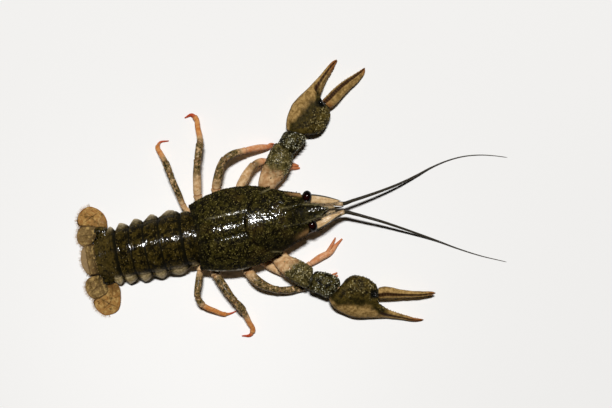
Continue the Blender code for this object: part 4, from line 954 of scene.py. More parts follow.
def hair_piece(name, form, material, slot):
    """Piece made of hairs, with a UV map that gives each its patch at its root's place."""
    mesh = piece(name, [form], material, slot).data
    corner = np.empty(len(mesh.loops), np.int32)
    mesh.loops.foreach_get("vertex_index", corner)
    place = np.empty((2, len(mesh.vertices)), np.float32)
    for axis, mark in enumerate(("bake_u", "bake_v")):
        mesh.attributes[mark].data.foreach_get("value", place[axis])
    mesh.uv_layers.new(name="OFBake").uv.foreach_set("vector", place[:, corner].T.ravel())


def horn_hair(name, root_colour, tip_colour):
    """Stiff translucent hair, darker at its root."""
    place, dress = shell_material(name)
    return dress(place.mark("tip").mix(root_colour, tip_colour), place.noise(1.0) * 0.2 + 0.4)


place, dress = shell_material("whip_horn", coat=0.1, shine=0.15)
ring = place.mark("ring")
whip_colour = place.mark("along").between(0.35, 1.0).mix(WHIP_BLACK, WHIP_GREY).painted(
    (ring * 0.35, RING_BROWN),
    (place.mark("stalk"), place.noise(0.8, 4.0).between(0.38, 0.55).mix(SHORT_OLIVE, SHORT_PEACH)))
whip_horn = dress(whip_colour, ring * 0.2 + 0.35, place.noise(4.0), depth=0.03)

place, dress = shell_material("scale_shell", coat=0.15, shine=0.2)
scale_colour = place.noise(0.5).between(0.3, 0.7).mix(SCALE_CREAM, SCALE_PALE).painted(
    (place.mark("streak") * place.noise(1.6).between(0.4, 0.7), SCALE_STREAK),
    (place.mark("edge"), SCALE_EDGE))
scale_shell = dress(scale_colour, place.noise(1.5) * 0.25 + 0.28, place.noise(2.5), depth=0.08)

place, dress = shell_material("base_shell", coat=0.15, shine=0.2)
base_colour = place.noise(0.55).between(0.35, 0.65).mix(BASE_BROWN, BASE_PALE).painted(
    (place.mark("along").between(0.05, 0.01), BASE_ROOT),
    (place.mark("edge") * place.noise(0.9).between(0.2, 0.6), BASE_EDGE),
    (place.mark("joint") * 0.8, BASE_JOINT))
base_shell = dress(base_colour, place.noise(1.5) * 0.25 + 0.3, place.noise(2.2), depth=0.1)
pale_hair = horn_hair("pale_hair", (0.45, 0.30, 0.15), (0.70, 0.58, 0.42))
chance = np.random.default_rng(5)

for label, keys in ANTENNAE.items():
    side = 1.0 if label == "left" else -1.0
    run = run_length(keys)
    start = run[WHIP_START]
    outer_edge = rise(side * np.cos(ring_angles(BASE_SIDES)), 0.35, 0.9)
    base = jointed(keys, (-3.6, 4.2, 9.6, 14.6, start - 0.2), BASE_SIDES, 0.07, tall=0.95,
                   edge=outer_edge)
    tine = np.array(keys[1][:3]) + (0.4, side * 2.1, 0.4)
    base.append(spikes(tine, tine + (3.0, side * -0.1, 0.3), 0.6, edge=0.8))
    piece(f"feeler_base_{label}", base, base_shell, "leg_shell", f"antenna_base_{label}")
    at = np.linspace(start - 0.6, run[-1], int((run[-1] - start) / WHIP_RING) * 5)
    ends = np.sqrt(np.clip((run[-1] - at) / 1.2, 0.02, 1.0))
    piece(f"whip_{label}", [ringed(keys, at, WHIP_RING, 12, start, ends)], whip_horn, "feeler_horn",
          f"antenna_whip_inner_{label}", f"antenna_whip_outer_{label}")

    grid, along, across, up = flat_limb(SCALES[label], 90, SCALE_SIDES, power=2.2, root=(1.0, 0.6))
    veins = 0.03 * np.cos(across * 26.0) * (up > 0.0)
    ribs = 0.22 * bell(across - 0.93, 0.12) + 0.16 * bell(across - 0.1, 0.1) * (up > 0.0)
    grid = raised(grid, ribs + veins)
    spine_root = np.array(SCALES[label][-1])[[0, 1, 4]] + (-0.9, side * -0.05, 0.0)
    scale = [closed(grid, edge=rise(across, 0.60, 0.82), streak=bell(across - 0.1, 0.2)),
             spikes(spine_root, spine_root + (1.9, side * -0.25, 0.05), 0.34, edge=0.5)]
    piece(f"scale_{label}", scale, scale_shell, "scale_shell", f"antenna_scale_{label}")
    root = grid[12:-4, SCALE_SIDES // 2]
    root = root[chance.integers(0, len(root), SCALE_HAIRS)]
    tips = root + np.column_stack([chance.uniform(0.5, 1.1, SCALE_HAIRS),
                                   side * chance.uniform(-1.1, -0.6, SCALE_HAIRS),
                                   chance.uniform(-0.5, 0.1, SCALE_HAIRS)])
    fringe = hairs(root, tips, 0.05, (root[:, 0] - 56.0) / 13.0, chance.uniform(0.2, 0.8, SCALE_HAIRS))
    hair_piece(f"scale_hair_{label}", fringe, pale_hair, "scale_shell")

    keys = mirrored(SHORT_BASE, side)
    forms = jointed(keys, (0.3, 5.2, 10.4, run_length(keys)[-1]), 24, 0.05, stalk=1.0)
    for rows in SHORT_WHIPS:
        keys = mirrored(rows, side)
        forms.append(ringed(keys, np.linspace(0.0, run_length(keys)[-1], 120), SHORT_RING, 10))
    piece(f"short_feelers_{label}", forms, whip_horn, "feeler_horn", f"antennule_{label}")


# Tail rings
# Six hard arches slide one under the other, joined by soft skin. Each runs down at both sides
# into a thin, pale flap with a rounded point; soft swimming leaves hang below rings 2 to 5.

# rows of x and the half width, or a level, there
TAIL_HALF_WIDTH = [(-50, 8.6), (-48, 9.8), (-44, 11.2), (-38, 11.9), (-25, 13.0), (-10, 13.5),
                   (0, 13.0)]
TAIL_TOP = [(-50, 7.4), (-45, 11.2), (-38, 15.0), (-30, 17.8), (-20, 20.0), (-10, 21.2), (0, 20.8)]
TAIL_HINGE = [(-50, 3.6), (-38, 7.6), (-20, 9.2), (0, 9.6)]
TAIL_BELLY = [(-50, 1.6), (-38, 5.8), (-20, 7.4), (0, 8.0)]
# front x, rear x, x of the flap's point, rear x of the flap, half width and level of the point
TAIL_RINGS = [(-1.9, -6.0, -4.2, -6.0, 13.5, 8.2), (-6.3, -16.6, -12.7, -16.6, 16.1, 3.4),
              (-16.9, -24.2, -21.4, -24.3, 15.9, 3.4), (-24.5, -31.2, -29.5, -31.4, 15.5, 3.4),
              (-31.5, -38.2, -36.9, -38.5, 15.0, 3.2), (-38.5, -49.9, -41.9, -44.2, 14.5, 3.0)]
UNDER_CARAPACE = 2.6            # how much further forward ring 1 reaches
TUCK = 0.055                    # share by which a ring narrows under the one before it
TUCK_DROP = 10.0                # how far its top sinks there, for each unit of that share
FLAP_SHIFT = 0.3                # the right flaps stand out this much further, the left less
RING_ROWS = 84
ARCH_STEPS = 17
STEP_SIDES = 9                  # sides of the mesh for each step round a ring
# marks at the steps round a ring: right flap, arch, left flap, belly
STEP_RIM = [0, 0, 0.3, 1, 1, 0] + [0] * ARCH_STEPS + [0.2, 0.9, 1.3, 0.3, 0, 0, 0]
STEP_PALE = ([0.3, 0.8, 1, 1, 1, 0.95, 1, 0.8, 0.5, 0.3, 0.1] + [0] * (ARCH_STEPS - 8)
             + [0.05, 0.2, 0.4, 0.65, 0.9, 1, 1, 0.8, 0.3, 0.2])
STEP_FACE = [0, 0, 0, 0.3, 1, 1] + [1] * ARCH_STEPS + [1, 1, 0.3, 0, 0, 0, 0]

TAIL_BLACK, TAIL_OLIVE = (0.0050, 0.0036, 0.0008), (0.040, 0.027, 0.0040)
TAIL_MOSS, TAIL_PIT = (0.160, 0.110, 0.026), (0.0025, 0.0018, 0.0005)
WORN_BROWN, TAIL_SPECK = (0.086, 0.057, 0.012), (0.30, 0.24, 0.12)
FLAP_BROWN, FLAP_PALE, FLAP_RIM = (0.230, 0.165, 0.062), (0.53, 0.41, 0.22), (0.60, 0.52, 0.38)
BAND_BLACK, HEM_BROWN = (0.006, 0.005, 0.002), (0.17, 0.12, 0.06)


def tail_ring(front, rear, tip, flap_rear, reach, low, start):
    """Sections of one tail ring, with its share of the length, pale, rim and outer face.

    A section is a loop of points joined by cubic pieces. Its arch has y = half sin(a) and
    z = hinge + (top - hinge) cos(a)**0.93. The flap at each side hangs down by its depth,
    1 - 0.92 t**1.4 of the whole, where t is 0 at its point and 1 at its ends.
    """
    x = np.linspace(front + 1.5 + start, rear - 0.5, RING_ROWS)
    cut = (front - x) / (front - rear)
    tucked = TUCK * np.clip(1.0 - cut / 0.22, 0.0, 0.8 if start else 1.9)
    lip = 0.22 * bell(x - rear, 0.5)
    widest, hinge, belly = (at_x(keys, x) for keys in (TAIL_HALF_WIDTH, TAIL_HINGE, TAIL_BELLY))
    top = at_x(TAIL_TOP, x) - TUCK_DROP * tucked + lip
    span = np.where(x > tip, front - tip, tip - flap_rear)
    depth = 1.0 - 0.92 * np.minimum(1.0, np.abs(x - tip) / span) ** 1.4
    half = widest * (1.0 - tucked) * (0.90 + 0.04 * depth) + lip
    edge_y = widest * (0.97 - tucked) + max(0.3, reach - at_x(TAIL_HALF_WIDTH, tip)) * depth
    flap_z = hinge - (at_x(TAIL_HINGE, tip) - low) * depth

    def flap(flap_y):
        """The side flap from the hinge out to its rim and back under it."""
        return [((half + flap_y) / 2.0 + 0.5, hinge * 0.6 + flap_z * 0.4 + 0.3),
                (flap_y + 0.05, flap_z + 0.45), (flap_y - 0.25, flap_z), (flap_y - 0.8, flap_z + 0.35),
                (half - 1.2, (belly + flap_z) / 2.0 + 0.8), (half - 2.6, belly)]

    arch = [(half * np.sin(a), hinge + (top - hinge) * np.cos(a) ** 0.93)
            for a in np.radians(np.linspace(-84.0, 84.0, ARCH_STEPS))]
    right, left = flap(edge_y + FLAP_SHIFT), flap(edge_y - FLAP_SHIFT)
    loop = [(-y, z) for y, z in reversed(right)] + arch + left + [(np.zeros(RING_ROWS), belly - 0.2)]
    steps = np.column_stack([np.reshape(loop, (len(loop), -1)), STEP_RIM, STEP_PALE, STEP_FACE])
    steps = np.column_stack([np.arange(len(loop) + 1), np.concatenate([steps, steps[:1]])])
    read = through(steps, np.arange(len(loop) * STEP_SIDES) / STEP_SIDES, limited=False)
    y, z = read[:, :-3].reshape(-1, 2, RING_ROWS).transpose(1, 2, 0)
    grid = np.stack(np.broadcast_arrays(x[:, None], y + midline(x)[:, None], z), -1)
    rim, pale, face = np.clip(read[:, -3:].T, 0.0, 1.0)
    rim = 0.8 * rim * rise(depth, 0.1, 0.5)[:, None]
    pale = pale * np.clip(0.15 + depth[:, None], 0.0, 1.0)
    if not start:
        face = face * rise(cut, 0.1, 0.2)[:, None]
    return grid, cut[:, None], pale, rim, face


def tail_shell(name):
    """Brown olive shell with dark bands at the joints (`dark`) and pale, horn-like flaps.

    Marks also show the flaps' rims (`rim`), the rings' rear edges (`hem`), worn ground
    (`worn`) and where the wet shell glints (`polish`).
    """
    place, dress = shell_material(name, coat_roughness=0.16, shine=0.03, wet=2.2)
    fine = place.noise(1.3, 4.0)
    mossy = place.mark("grain").between(0.25, 0.8) * place.noise(0.75, 5.0, 0.75).between(0.48, 0.62)
    worn = place.mark("worn") * place.noise(0.6, 6.0, 0.75).between(0.42, 0.58)
    speck = (1.0 - place.cells(0.55)).between(0.80, 0.92) * place.noise(0.4).between(0.45, 0.6)
    horn = place.noise(0.9, 4.0).between(0.35, 0.65).mix(FLAP_BROWN, FLAP_PALE)
    ragged = place.mark("pale") + (place.noise(0.7, 5.0, 0.7) - 0.5) * 0.7
    colour = place.noise(0.36, 6.0, 0.72).between(0.45, 0.57).mix(TAIL_BLACK, TAIL_OLIVE).painted(
        (mossy * 0.8, TAIL_MOSS),
        (place.noise(0.9, 5.0, 0.75).between(0.45, 0.38), TAIL_PIT),
        (worn * 0.7, WORN_BROWN),
        (speck * 0.8, TAIL_SPECK),
        (ragged.between(0.35, 1.0), horn),
        (place.mark("rim") * fine.between(0.2, 0.5), FLAP_RIM),
        (place.mark("dark"), BAND_BLACK),
        (place.mark("hem"), HEM_BROWN))
    height = (1.0 - place.cells(1.7)) * 0.6 + fine * 0.5
    broken = place.noise(1.2, 2.0).between(0.45, 0.57)
    return dress(colour, fine * 0.2 + 0.45, height, depth=0.11, gloss=place.mark("polish") * broken)


ring_shell = tail_shell("tail_ring_shell")
for number, sizes in enumerate(TAIL_RINGS, start=1):
    first, last = number == 1, number == len(TAIL_RINGS)
    grid, cut, pale, rim, face = tail_ring(*sizes, start=UNDER_CARAPACE if first else 0.0)
    bands = -0.20 * bell(cut - 0.30, 0.025) + 0.10 * rise(cut, 0.31, 0.36)
    if first or last:
        bands = bands * 0.3
    polish = bell(grid[..., 1] - midline(grid[..., 0]) - 1.8, 1.1)
    grain = grains(grid, 0.8, seed=20 + number)
    shape = face * (0.07 * grain * (1.0 - 0.5 * polish) + bands
                    + 0.04 * grains(grid, 0.5, seed=50 + number)
                    + 0.12 * polish * grains(grid * ACROSS, 0.6, seed=60 + number)
                    + 0.12 * lumps(grid, 2.4, seed=30 + number))
    dark = largest((1.0 - rise(cut, 0.08, 0.30)) * (0.4 if first else 1.0), 0.6 * bell(cut - 0.30, 0.03))
    dark = dark * (1.0 - 0.75 * rise(pale, 0.3, 0.8))
    hem = 0.5 * bell(cut - 1.0, 0.025) * (pale > 0.15)
    forms = [closed(raised(grid, shape), grain=grain * face, pale=pale, dark=dark, rim=rim, hem=hem,
                    polish=polish, worn=face * last)]
    if last:
        corner = np.array([(-49.0, midline(-49.0) + 8.3 * side, 4.6) for side in (1, -1)])
        forms.append(spikes(corner, corner + (-1.6, 0, -0.4), 0.45))
    piece(f"tail_ring_{number}", forms, ring_shell, "back_shell", f"abdomen_{number}")


# Tail fan
# The telson in the middle and two swimming blades at each side, thin golden shell stiffened
# by ribs and edged with a fringe of hairs. Each outer blade is hinged across its middle.

# edge x, y, other edge x, y, middle z, half thickness, from the root to the rim
TELSON = [(-50.3, -10.2, -50.3, 4.5, 4.4, 2.2), (-53.0, -10.4, -53.0, 4.5, 3.0, 1.6),
          (-55.3, -10.2, -55.3, 4.1, 1.9, 1.1), (-57.0, -9.0, -57.2, 2.8, 1.0, 0.8),
          (-58.2, -6.8, -58.2, 0.8, 0.5, 0.65), (-58.8, -4.6, -58.8, -1.6, 0.4, 0.5)]
BLADES = {
    "uropod_inner_left": [
        (-50.7, 5.7, -48.6, 7.9, 3.6, 1.3), (-51.6, 4.8, -48.0, 11.6, 3.1, 1.1),
        (-53.5, 4.3, -50.6, 13.3, 2.4, 0.9), (-56.0, 4.2, -54.8, 13.9, 1.4, 0.75),
        (-57.8, 5.2, -57.0, 12.8, 0.6, 0.6), (-58.8, 7.4, -58.4, 10.6, 0.35, 0.45)],
    "uropod_outer_left": [
        (-48.6, 7.1, -44.2, 9.1, 3.3, 1.3), (-49.8, 10.6, -43.1, 11.6, 2.4, 1.0),
        (-51.6, 12.3, -42.9, 14.3, 1.8, 0.9), (-54.0, 13.7, -43.6, 17.2, 1.7, 0.85),
        (-56.4, 14.2, -45.5, 19.8, 1.1, 0.7), (-57.2, 15.7, -47.7, 21.5, 0.7, 0.6),
        (-56.8, 18.0, -50.4, 22.5, 0.45, 0.5), (-55.4, 20.3, -53.2, 21.9, 0.32, 0.4)],
    "uropod_inner_right": [
        (-50.9, -11.2, -48.2, -14.0, 3.6, 1.3), (-51.8, -10.9, -47.9, -17.6, 3.1, 1.1),
        (-54.7, -10.9, -49.4, -20.6, 2.3, 0.9), (-57.2, -11.8, -52.3, -21.6, 1.5, 0.8),
        (-58.6, -13.8, -54.6, -22.2, 0.8, 0.65), (-59.1, -16.0, -56.7, -21.3, 0.42, 0.5),
        (-59.0, -17.6, -58.1, -19.8, 0.35, 0.45)],
    "uropod_outer_right": [
        (-49.4, -13.4, -44.1, -15.3, 3.3, 1.3), (-49.6, -17.2, -42.5, -18.8, 2.4, 1.0),
        (-50.8, -19.9, -43.0, -23.0, 1.8, 0.9), (-52.3, -21.2, -44.3, -27.2, 1.5, 0.8),
        (-54.8, -21.7, -45.8, -29.3, 0.9, 0.65), (-56.6, -23.2, -48.3, -30.4, 0.6, 0.6),
        (-56.2, -25.8, -51.4, -30.6, 0.42, 0.5), (-55.2, -27.8, -53.6, -29.6, 0.32, 0.4)],
}
# x, y, z, half width, from the last ring outwards
KNUCKLES = [[(-43.2, 6.4, 4.6, 1.8), (-45.1, 8.4, 4.4, 2.8), (-47.1, 9.6, 3.8, 2.5),
             (-48.9, 10.6, 3.0, 1.4)],
            [(-43.6, -11.6, 4.6, 1.8), (-45.4, -13.0, 4.4, 2.8), (-47.8, -13.8, 3.9, 2.6),
             (-49.6, -14.6, 3.0, 1.4)]]
SUTURE_X = -55.2                # the seam across the telson
HINGE_AT = 0.605                # the outer blades' hinge, as a share of their length
HINGE_TEETH = np.linspace(8, 66, 12).astype(int)    # which of a ring's sides bear a tooth
HAIR_DROP = 0.12                # how far a hair hangs, for each unit of its length
HAIR_FLOOR = 0.06               # lowest level of a hair's tip

# root, main and rim colours
GOLD_FAN = (0.085, 0.052, 0.014), (0.36, 0.195, 0.055), (0.24, 0.095, 0.024)
BROWN_FAN = (0.022, 0.018, 0.006), (0.225, 0.145, 0.055), (0.15, 0.080, 0.026)
FAN_LIGHT, FAN_SHADE = (0.52, 0.345, 0.120), (0.075, 0.042, 0.009)
# dark brown of the ribs and hinge, and of painted shade where blades meet; pink of the telson
RIB_AND_SHADE_BROWN, FAN_PINK = (0.035, 0.018, 0.008), (0.345, 0.235, 0.120)


def fan_shell(name, root_colour, main_colour, rim_colour):
    """Golden shell with fine rays along it, darker at its rim, ribs and hinge; `line` also paints shade.
    """
    place, dress = shell_material(name, coat=0.02, coat_roughness=0.2, shine=0.05)
    along, across = place.mark("along"), place.mark("across")
    rays = place.node("CombineXYZ", X=across * 3.2, Y=along * 0.9, Z=0.0)
    ray = place.node("TexNoise", Vector=rays, Scale=5.0, Detail=3.0)
    colour = along.between(0.05, 0.55).mix(root_colour, main_colour).painted(
        (ray.between(0.44, 0.64) * 0.85, rim_colour),
        (place.noise(0.5, 5.0, 0.75).between(0.50, 0.60) * 0.65, FAN_LIGHT),
        (place.noise(0.42, 6.0, 0.8).between(0.52, 0.60) * 0.8, FAN_SHADE),
        (place.mark("rim"), rim_colour),
        # ribs, hinge, and painted shade where blades meet
        (place.mark("line"), RIB_AND_SHADE_BROWN),
        (place.mark("pink"), FAN_PINK))
    height = ray * 0.7 + place.noise(2.5) * 0.3
    return dress(colour, place.noise(1.5) * 0.2 + 0.5, height, depth=0.09)


def fringe_of(grid, first, second, count, length, seed):
    """Hairs along a blade's rim, square to it, from a share of the length on at each edge."""
    draw = np.random.default_rng(seed)
    start, other = int(len(grid) * first), int(len(grid) * second)
    edge = np.concatenate([grid[start:, 0], grid[:other - 1:-1, grid.shape[1] // 2]])
    run = run_length(edge)
    at = np.sort(draw.uniform(0.0, run[-1], count))
    root, ahead, behind = (np.stack([np.interp(at + step, run, edge[:, k]) for k in range(3)], -1)
                           for step in (0.0, 0.4, -0.4))
    out = unit(np.cross(ahead - behind, (0.0, 0.0, 1.0)))
    out *= np.sign(np.sum(out * (root - grid[start:].mean(axis=(0, 1)))))
    out = unit(out + draw.normal(0.0, 0.16, out.shape) * (1.0, 1.0, 0.3))
    size = length * draw.uniform(0.6, 1.1, (count, 1))
    tips = root + out * size - np.array((0.0, 0.0, HAIR_DROP)) * size
    tips[:, 2] = np.maximum(tips[:, 2], HAIR_FLOOR)
    return hairs(root - out * 0.15, tips, draw.uniform(0.025, 0.045, count), at / run[-1],
                 draw.uniform(0.2, 0.8, count), bend=(0.0, 0.0, -0.2))


gold_fan = fan_shell("gold_fan", *GOLD_FAN)
brown_fan = fan_shell("brown_fan", *BROWN_FAN)
rust_hair = horn_hair("rust_hair", (0.46, 0.27, 0.12), (0.78, 0.62, 0.44))

grid, along, across, up = flat_limb(TELSON, 130, 200, power=2.4, root=(1.0, 0.9))
fringe = fringe_of(grid, 0.62, 0.62, 120, 1.5, 51)
on_top = up > 0
suture = grid[..., 0] - SUTURE_X + 0.15 * bell(across, 0.5)
# painted shade along the telson's edges, where the inner blades lie beside it
side_shade = 0.8 * rise(np.abs(across), 0.86, 0.96) * (1.0 - rise(along, 0.7, 0.8))
shape = on_top * (0.16 * bell(np.abs(across) - 0.45, 0.07) * (1.0 - rise(along, 0.5, 0.7))
                  + 0.09 * grains(grid, 0.75, seed=41) * (1.0 - rise(along, 0.45, 0.6))
                  - 0.16 * bell(suture, 0.12))
telson = [closed(raised(grid, shape), along=along, across=across, rim=0.6 * rise(along, 0.9, 0.99),
                 line=largest(0.7 * bell(suture, 0.16) * on_top, side_shade),
                 pink=0.75 * rise(-suture, 0.1, 0.7))]
for side, middle in ((1, 4.3), (-1, -10.3)):
    corner = np.array([(-54.5, middle - side * 0.6, 2.2), (-54.9, middle - side * 1.5, 2.1)])
    telson.append(spikes(corner, corner + np.array([(-2.2, side * 0.6, -0.3), (-2.4, side * 0.4, -0.4)]),
                         0.42, bend=(0, side * -0.2, 0), along=0.6, line=0.3))
piece("telson_blade", telson, brown_fan, "tail_shell", "telson")
hair_piece("telson_hair", fringe, rust_hair, "tail_shell")

for number, (node, keys) in enumerate(BLADES.items()):
    outer = "outer" in node
    grid, along, across, up = flat_limb(keys, 150, 150, power=2.2, root=(0.8, 0.85))
    fringe = fringe_of(grid, 0.6, 0.88 if outer else 0.75, 130, 1.7, 60 + number)
    on_top = up > 0
    rib = bell(across + 0.05, 0.06) * (1.0 - rise(along, 0.72, 0.9)) * on_top
    hinge = (bell(along - HINGE_AT - 0.05 * (1.0 - across**2), 0.012) * on_top * outer
             * (1.0 - rise(np.abs(across + 0.1), 0.35, 0.8)))
    rays = 0.035 * np.cos(across * 44.0) * rise(along, 0.25, 0.5) * on_top
    rim = largest(rise(np.abs(across), 0.90, 0.99), rise(along, 0.93, 0.995)) * rise(along, 0.2, 0.4)
    # painted shade along the edge where an inner and an outer blade meet
    overlap_shade = 0.8 * rise(across if outer else -across, 0.82, 0.94) * rise(along, 0.2, 0.4)
    grid = raised(grid, 0.30 * rib - 0.22 * hinge + rays + 0.05 * grains(grid, 0.7, seed=42) * on_top)
    forms = [closed(grid, along=along, across=across, rim=0.75 * rim,
                    line=largest(0.75 * hinge + 0.45 * rib, overlap_shade))]
    if outer:
        row = int(np.argmin(np.abs(along[:, 0] - 0.63)))
        root = grid[row, HINGE_TEETH]
        forward = unit(grid[row + 6, HINGE_TEETH] - root)
        forms.append(spikes(root - forward * 0.3 - (0, 0, 0.1), root + forward * 0.75, 0.16, sides=6,
                            along=0.6, line=0.5))
    piece(f"{node}_blade", forms, gold_fan if outer else brown_fan, "tail_shell", node)
    hair_piece(f"{node}_hair", fringe, rust_hair, "tail_shell")

knuckles = []
for keys in KNUCKLES:
    grid = limb(keys, np.linspace(0.0, run_length(keys)[-1], 60), 80, tall=0.62)
    grain = grains(grid, 1.5, seed=44)
    grid = raised(grid, 0.25 * grain + 0.10 * grains(grid, 0.7, seed=45))
    knuckles.append(closed(grid, grain=grain, polish=0.4))
piece("fan_knuckles", knuckles, ring_shell, "back_shell")


# Great claws
# Each has an arm, a wrist and a hand that ends in a fixed finger with a free one beside it.
# The shell is thick and pebbled, smooth and golden along its outer margin, and joined by
# peach-coloured skin.

# edge x, y, other edge x, y, middle z, half thickness, from the hip outwards
CLAWS = {
    "left": {
        "arm": [(31.0, 8.2, 36.8, 7.8, 4.4, 2.0), (31.4, 14.0, 38.0, 12.3, 4.7, 2.3),
                (32.4, 18.6, 39.8, 14.9, 6.9, 3.3), (35.0, 24.0, 44.0, 18.0, 8.3, 3.8),
                (38.5, 29.0, 48.0, 22.0, 9.1, 4.1), (41.8, 33.4, 50.4, 26.2, 8.9, 3.9),
                (44.2, 36.0, 51.3, 29.2, 8.2, 3.4)],
        "wrist": [(44.6, 34.6, 51.6, 28.6, 8.0, 3.3), (45.9, 36.2, 54.5, 31.2, 8.1, 4.0),
                  (47.4, 38.0, 57.2, 33.2, 7.8, 4.3), (49.0, 39.8, 58.8, 35.6, 7.0, 3.9),
                  (50.0, 40.4, 58.7, 36.6, 6.4, 3.4)],
        "hand": [(50.2, 40.9, 58.9, 37.1, 6.2, 3.2), (51.0, 45.0, 64.0, 36.6, 5.5, 4.3),
                 (54.0, 51.0, 67.8, 38.3, 4.7, 4.9), (57.5, 54.6, 70.5, 41.5, 4.5, 5.2),
                 (62.0, 57.5, 72.2, 45.0, 4.2, 4.9), (65.0, 59.6, 72.0, 47.5, 3.9, 4.1),
                 (66.6, 60.8, 68.6, 52.2, 3.8, 3.5), (70.0, 63.2, 70.8, 57.0, 3.3, 2.9),
                 (74.0, 66.6, 73.7, 61.2, 2.4, 2.2), (78.0, 69.7, 77.3, 65.3, 1.6, 1.5),
                 (80.7, 70.6, 80.2, 69.2, 0.6, 0.6)],
        "finger": [(72.7, 47.4, 69.6, 51.9, 4.1, 3.2), (75.2, 48.4, 72.0, 53.5, 3.8, 2.9),
                   (80.0, 52.0, 76.5, 56.7, 3.2, 2.5), (85.0, 55.5, 81.5, 59.4, 2.5, 2.0),
                   (90.0, 58.8, 87.2, 61.7, 1.7, 1.4), (92.6, 61.6, 91.0, 63.2, 1.1, 0.9),
                   (93.2, 63.5, 92.7, 64.2, 0.7, 0.5)]},
    "right": {
        "arm": [(31.0, -9.0, 36.8, -8.8, 4.4, 2.0), (30.9, -15.0, 38.0, -13.6, 4.7, 2.3),
                (32.8, -21.0, 40.2, -17.8, 6.5, 3.2), (36.5, -27.0, 44.5, -21.0, 8.5, 3.8),
                (41.0, -31.5, 48.5, -24.0, 9.2, 4.1), (44.5, -34.2, 50.2, -26.0, 8.9, 3.7),
                (46.0, -35.2, 50.6, -27.3, 8.6, 3.3)],
        "wrist": [(46.6, -35.6, 51.2, -27.7, 8.6, 3.1), (48.6, -37.2, 54.5, -28.8, 8.7, 3.9),
                  (51.6, -39.0, 58.8, -30.8, 8.5, 4.2), (53.8, -40.6, 61.6, -33.6, 7.9, 3.9),
                  (54.8, -41.6, 62.4, -36.0, 7.3, 3.3)],
        "hand": [(55.1, -42.1, 62.8, -36.5, 7.1, 3.2), (56.5, -46.0, 65.5, -34.2, 6.8, 4.3),
                 (60.5, -50.0, 69.0, -33.3, 6.4, 4.9), (65.0, -53.0, 73.5, -34.7, 6.2, 5.1),
                 (70.0, -54.4, 77.0, -37.6, 5.8, 4.9), (74.0, -55.1, 79.0, -41.2, 5.4, 4.4),
                 (77.0, -55.7, 78.2, -47.2, 4.7, 3.6), (80.0, -56.3, 80.6, -50.8, 3.9, 2.9),
                 (85.0, -57.7, 85.2, -54.2, 2.7, 2.2), (90.0, -59.3, 90.3, -57.0, 1.9, 1.7),
                 (95.0, -61.0, 95.3, -59.5, 1.0, 1.2), (98.4, -61.3, 98.5, -60.5, 0.35, 0.5)],
        "finger": [(79.6, -41.2, 78.8, -46.6, 6.2, 3.1), (82.0, -41.1, 81.8, -47.0, 6.4, 2.9),
                   (86.0, -42.3, 86.0, -47.6, 6.5, 2.5), (90.0, -44.0, 90.0, -48.1, 6.5, 2.0),
                   (95.0, -45.6, 95.0, -48.8, 6.3, 1.6), (100.0, -46.8, 100.0, -49.4, 6.1, 1.2),
                   (104.0, -47.6, 104.0, -49.4, 5.9, 0.9), (106.2, -48.5, 106.1, -49.1, 5.8, 0.5)]},
}
# rings, sides, squareness of the section; then how the root and the tip are rounded off
CLAW_GRID = {"arm": (130, 110, 2.3, (0.0, 0.86), (1.3, 0.86)),
             "wrist": (100, 120, 2.3, (1.4, 0.86), (1.2, 0.86)),
             "hand": (180, 150, 2.3, (1.6, 0.86), (1.2, 0.2)),
             "finger": (150, 90, 2.3, (1.2, 0.86), (1.4, 0.2))}
PEBBLED_FROM = {"arm": 0.40, "wrist": 0.0, "hand": 0.0, "finger": 2.0}     # share of the length
HAND_ROLL = 2.4                 # how far the right hand's outer margin is turned down
SKIN_POWER = 0.87               # nearly 2 / squareness
FINGER_LINE = {"left": 0.42, "right": 0.25}     # place across of the black line on each
# rows of spines, knobs and teeth: first and last place, count, turn, height, half width, lean
CLAW_ROWS = {
    "arm": [(0.45, 0.92, 5, 95.0, 0.8, 0.5, 0.8), (0.50, 0.90, 4, 160.0, 1.1, 0.55, 0.8),
            (0.55, 0.90, 4, 125.0, 0.6, 0.45, 0.6)],
    "wrist": [(0.30, 0.78, 4, 160.0, 1.1, 0.55, 0.7), (0.30, 0.80, 4, 115.0, 0.7, 0.5, 0.5),
              (0.30, 0.80, 4, 65.0, 0.7, 0.5, 0.5)],
    "hand": [(0.07, 0.40, 9, 174.0, 0.6, 0.5, 0.3), (0.08, 0.40, 8, 158.0, 0.5, 0.5, 0.3),
             (0.10, 0.40, 7, 140.0, 0.45, 0.5, 0.3), (0.62, 0.94, 12, 182.0, 0.38, 0.42, 0.0)],
    "finger": [(0.12, 0.92, 13, 180.0, 0.36, 0.40, 0.0)],
}
# parts that the skin joins, its half width and half height
CLAW_JOINTS = [("arm", "wrist", 3.1, 3.0), ("wrist", "hand", 3.2, 2.8), ("hand", "finger", 1.9, 2.3)]
PALE_SKIN = {"left": (59.1, 38.8), "right": (62.4, -36.2)}     # x, y of its pale spot
# the dark socket of each free finger, and the knobs in it: steps from its middle, radius
SOCKETS = {"left": (69.3, 50.4, 8.3), "right": (77.0, -43.6, 10.9)}
SOCKET_KNOBS = [((0.0, 0.0, 0.0), 0.95), ((-0.9, 0.5, -0.3), 0.6), ((0.7, -0.9, -0.4), 0.6)]

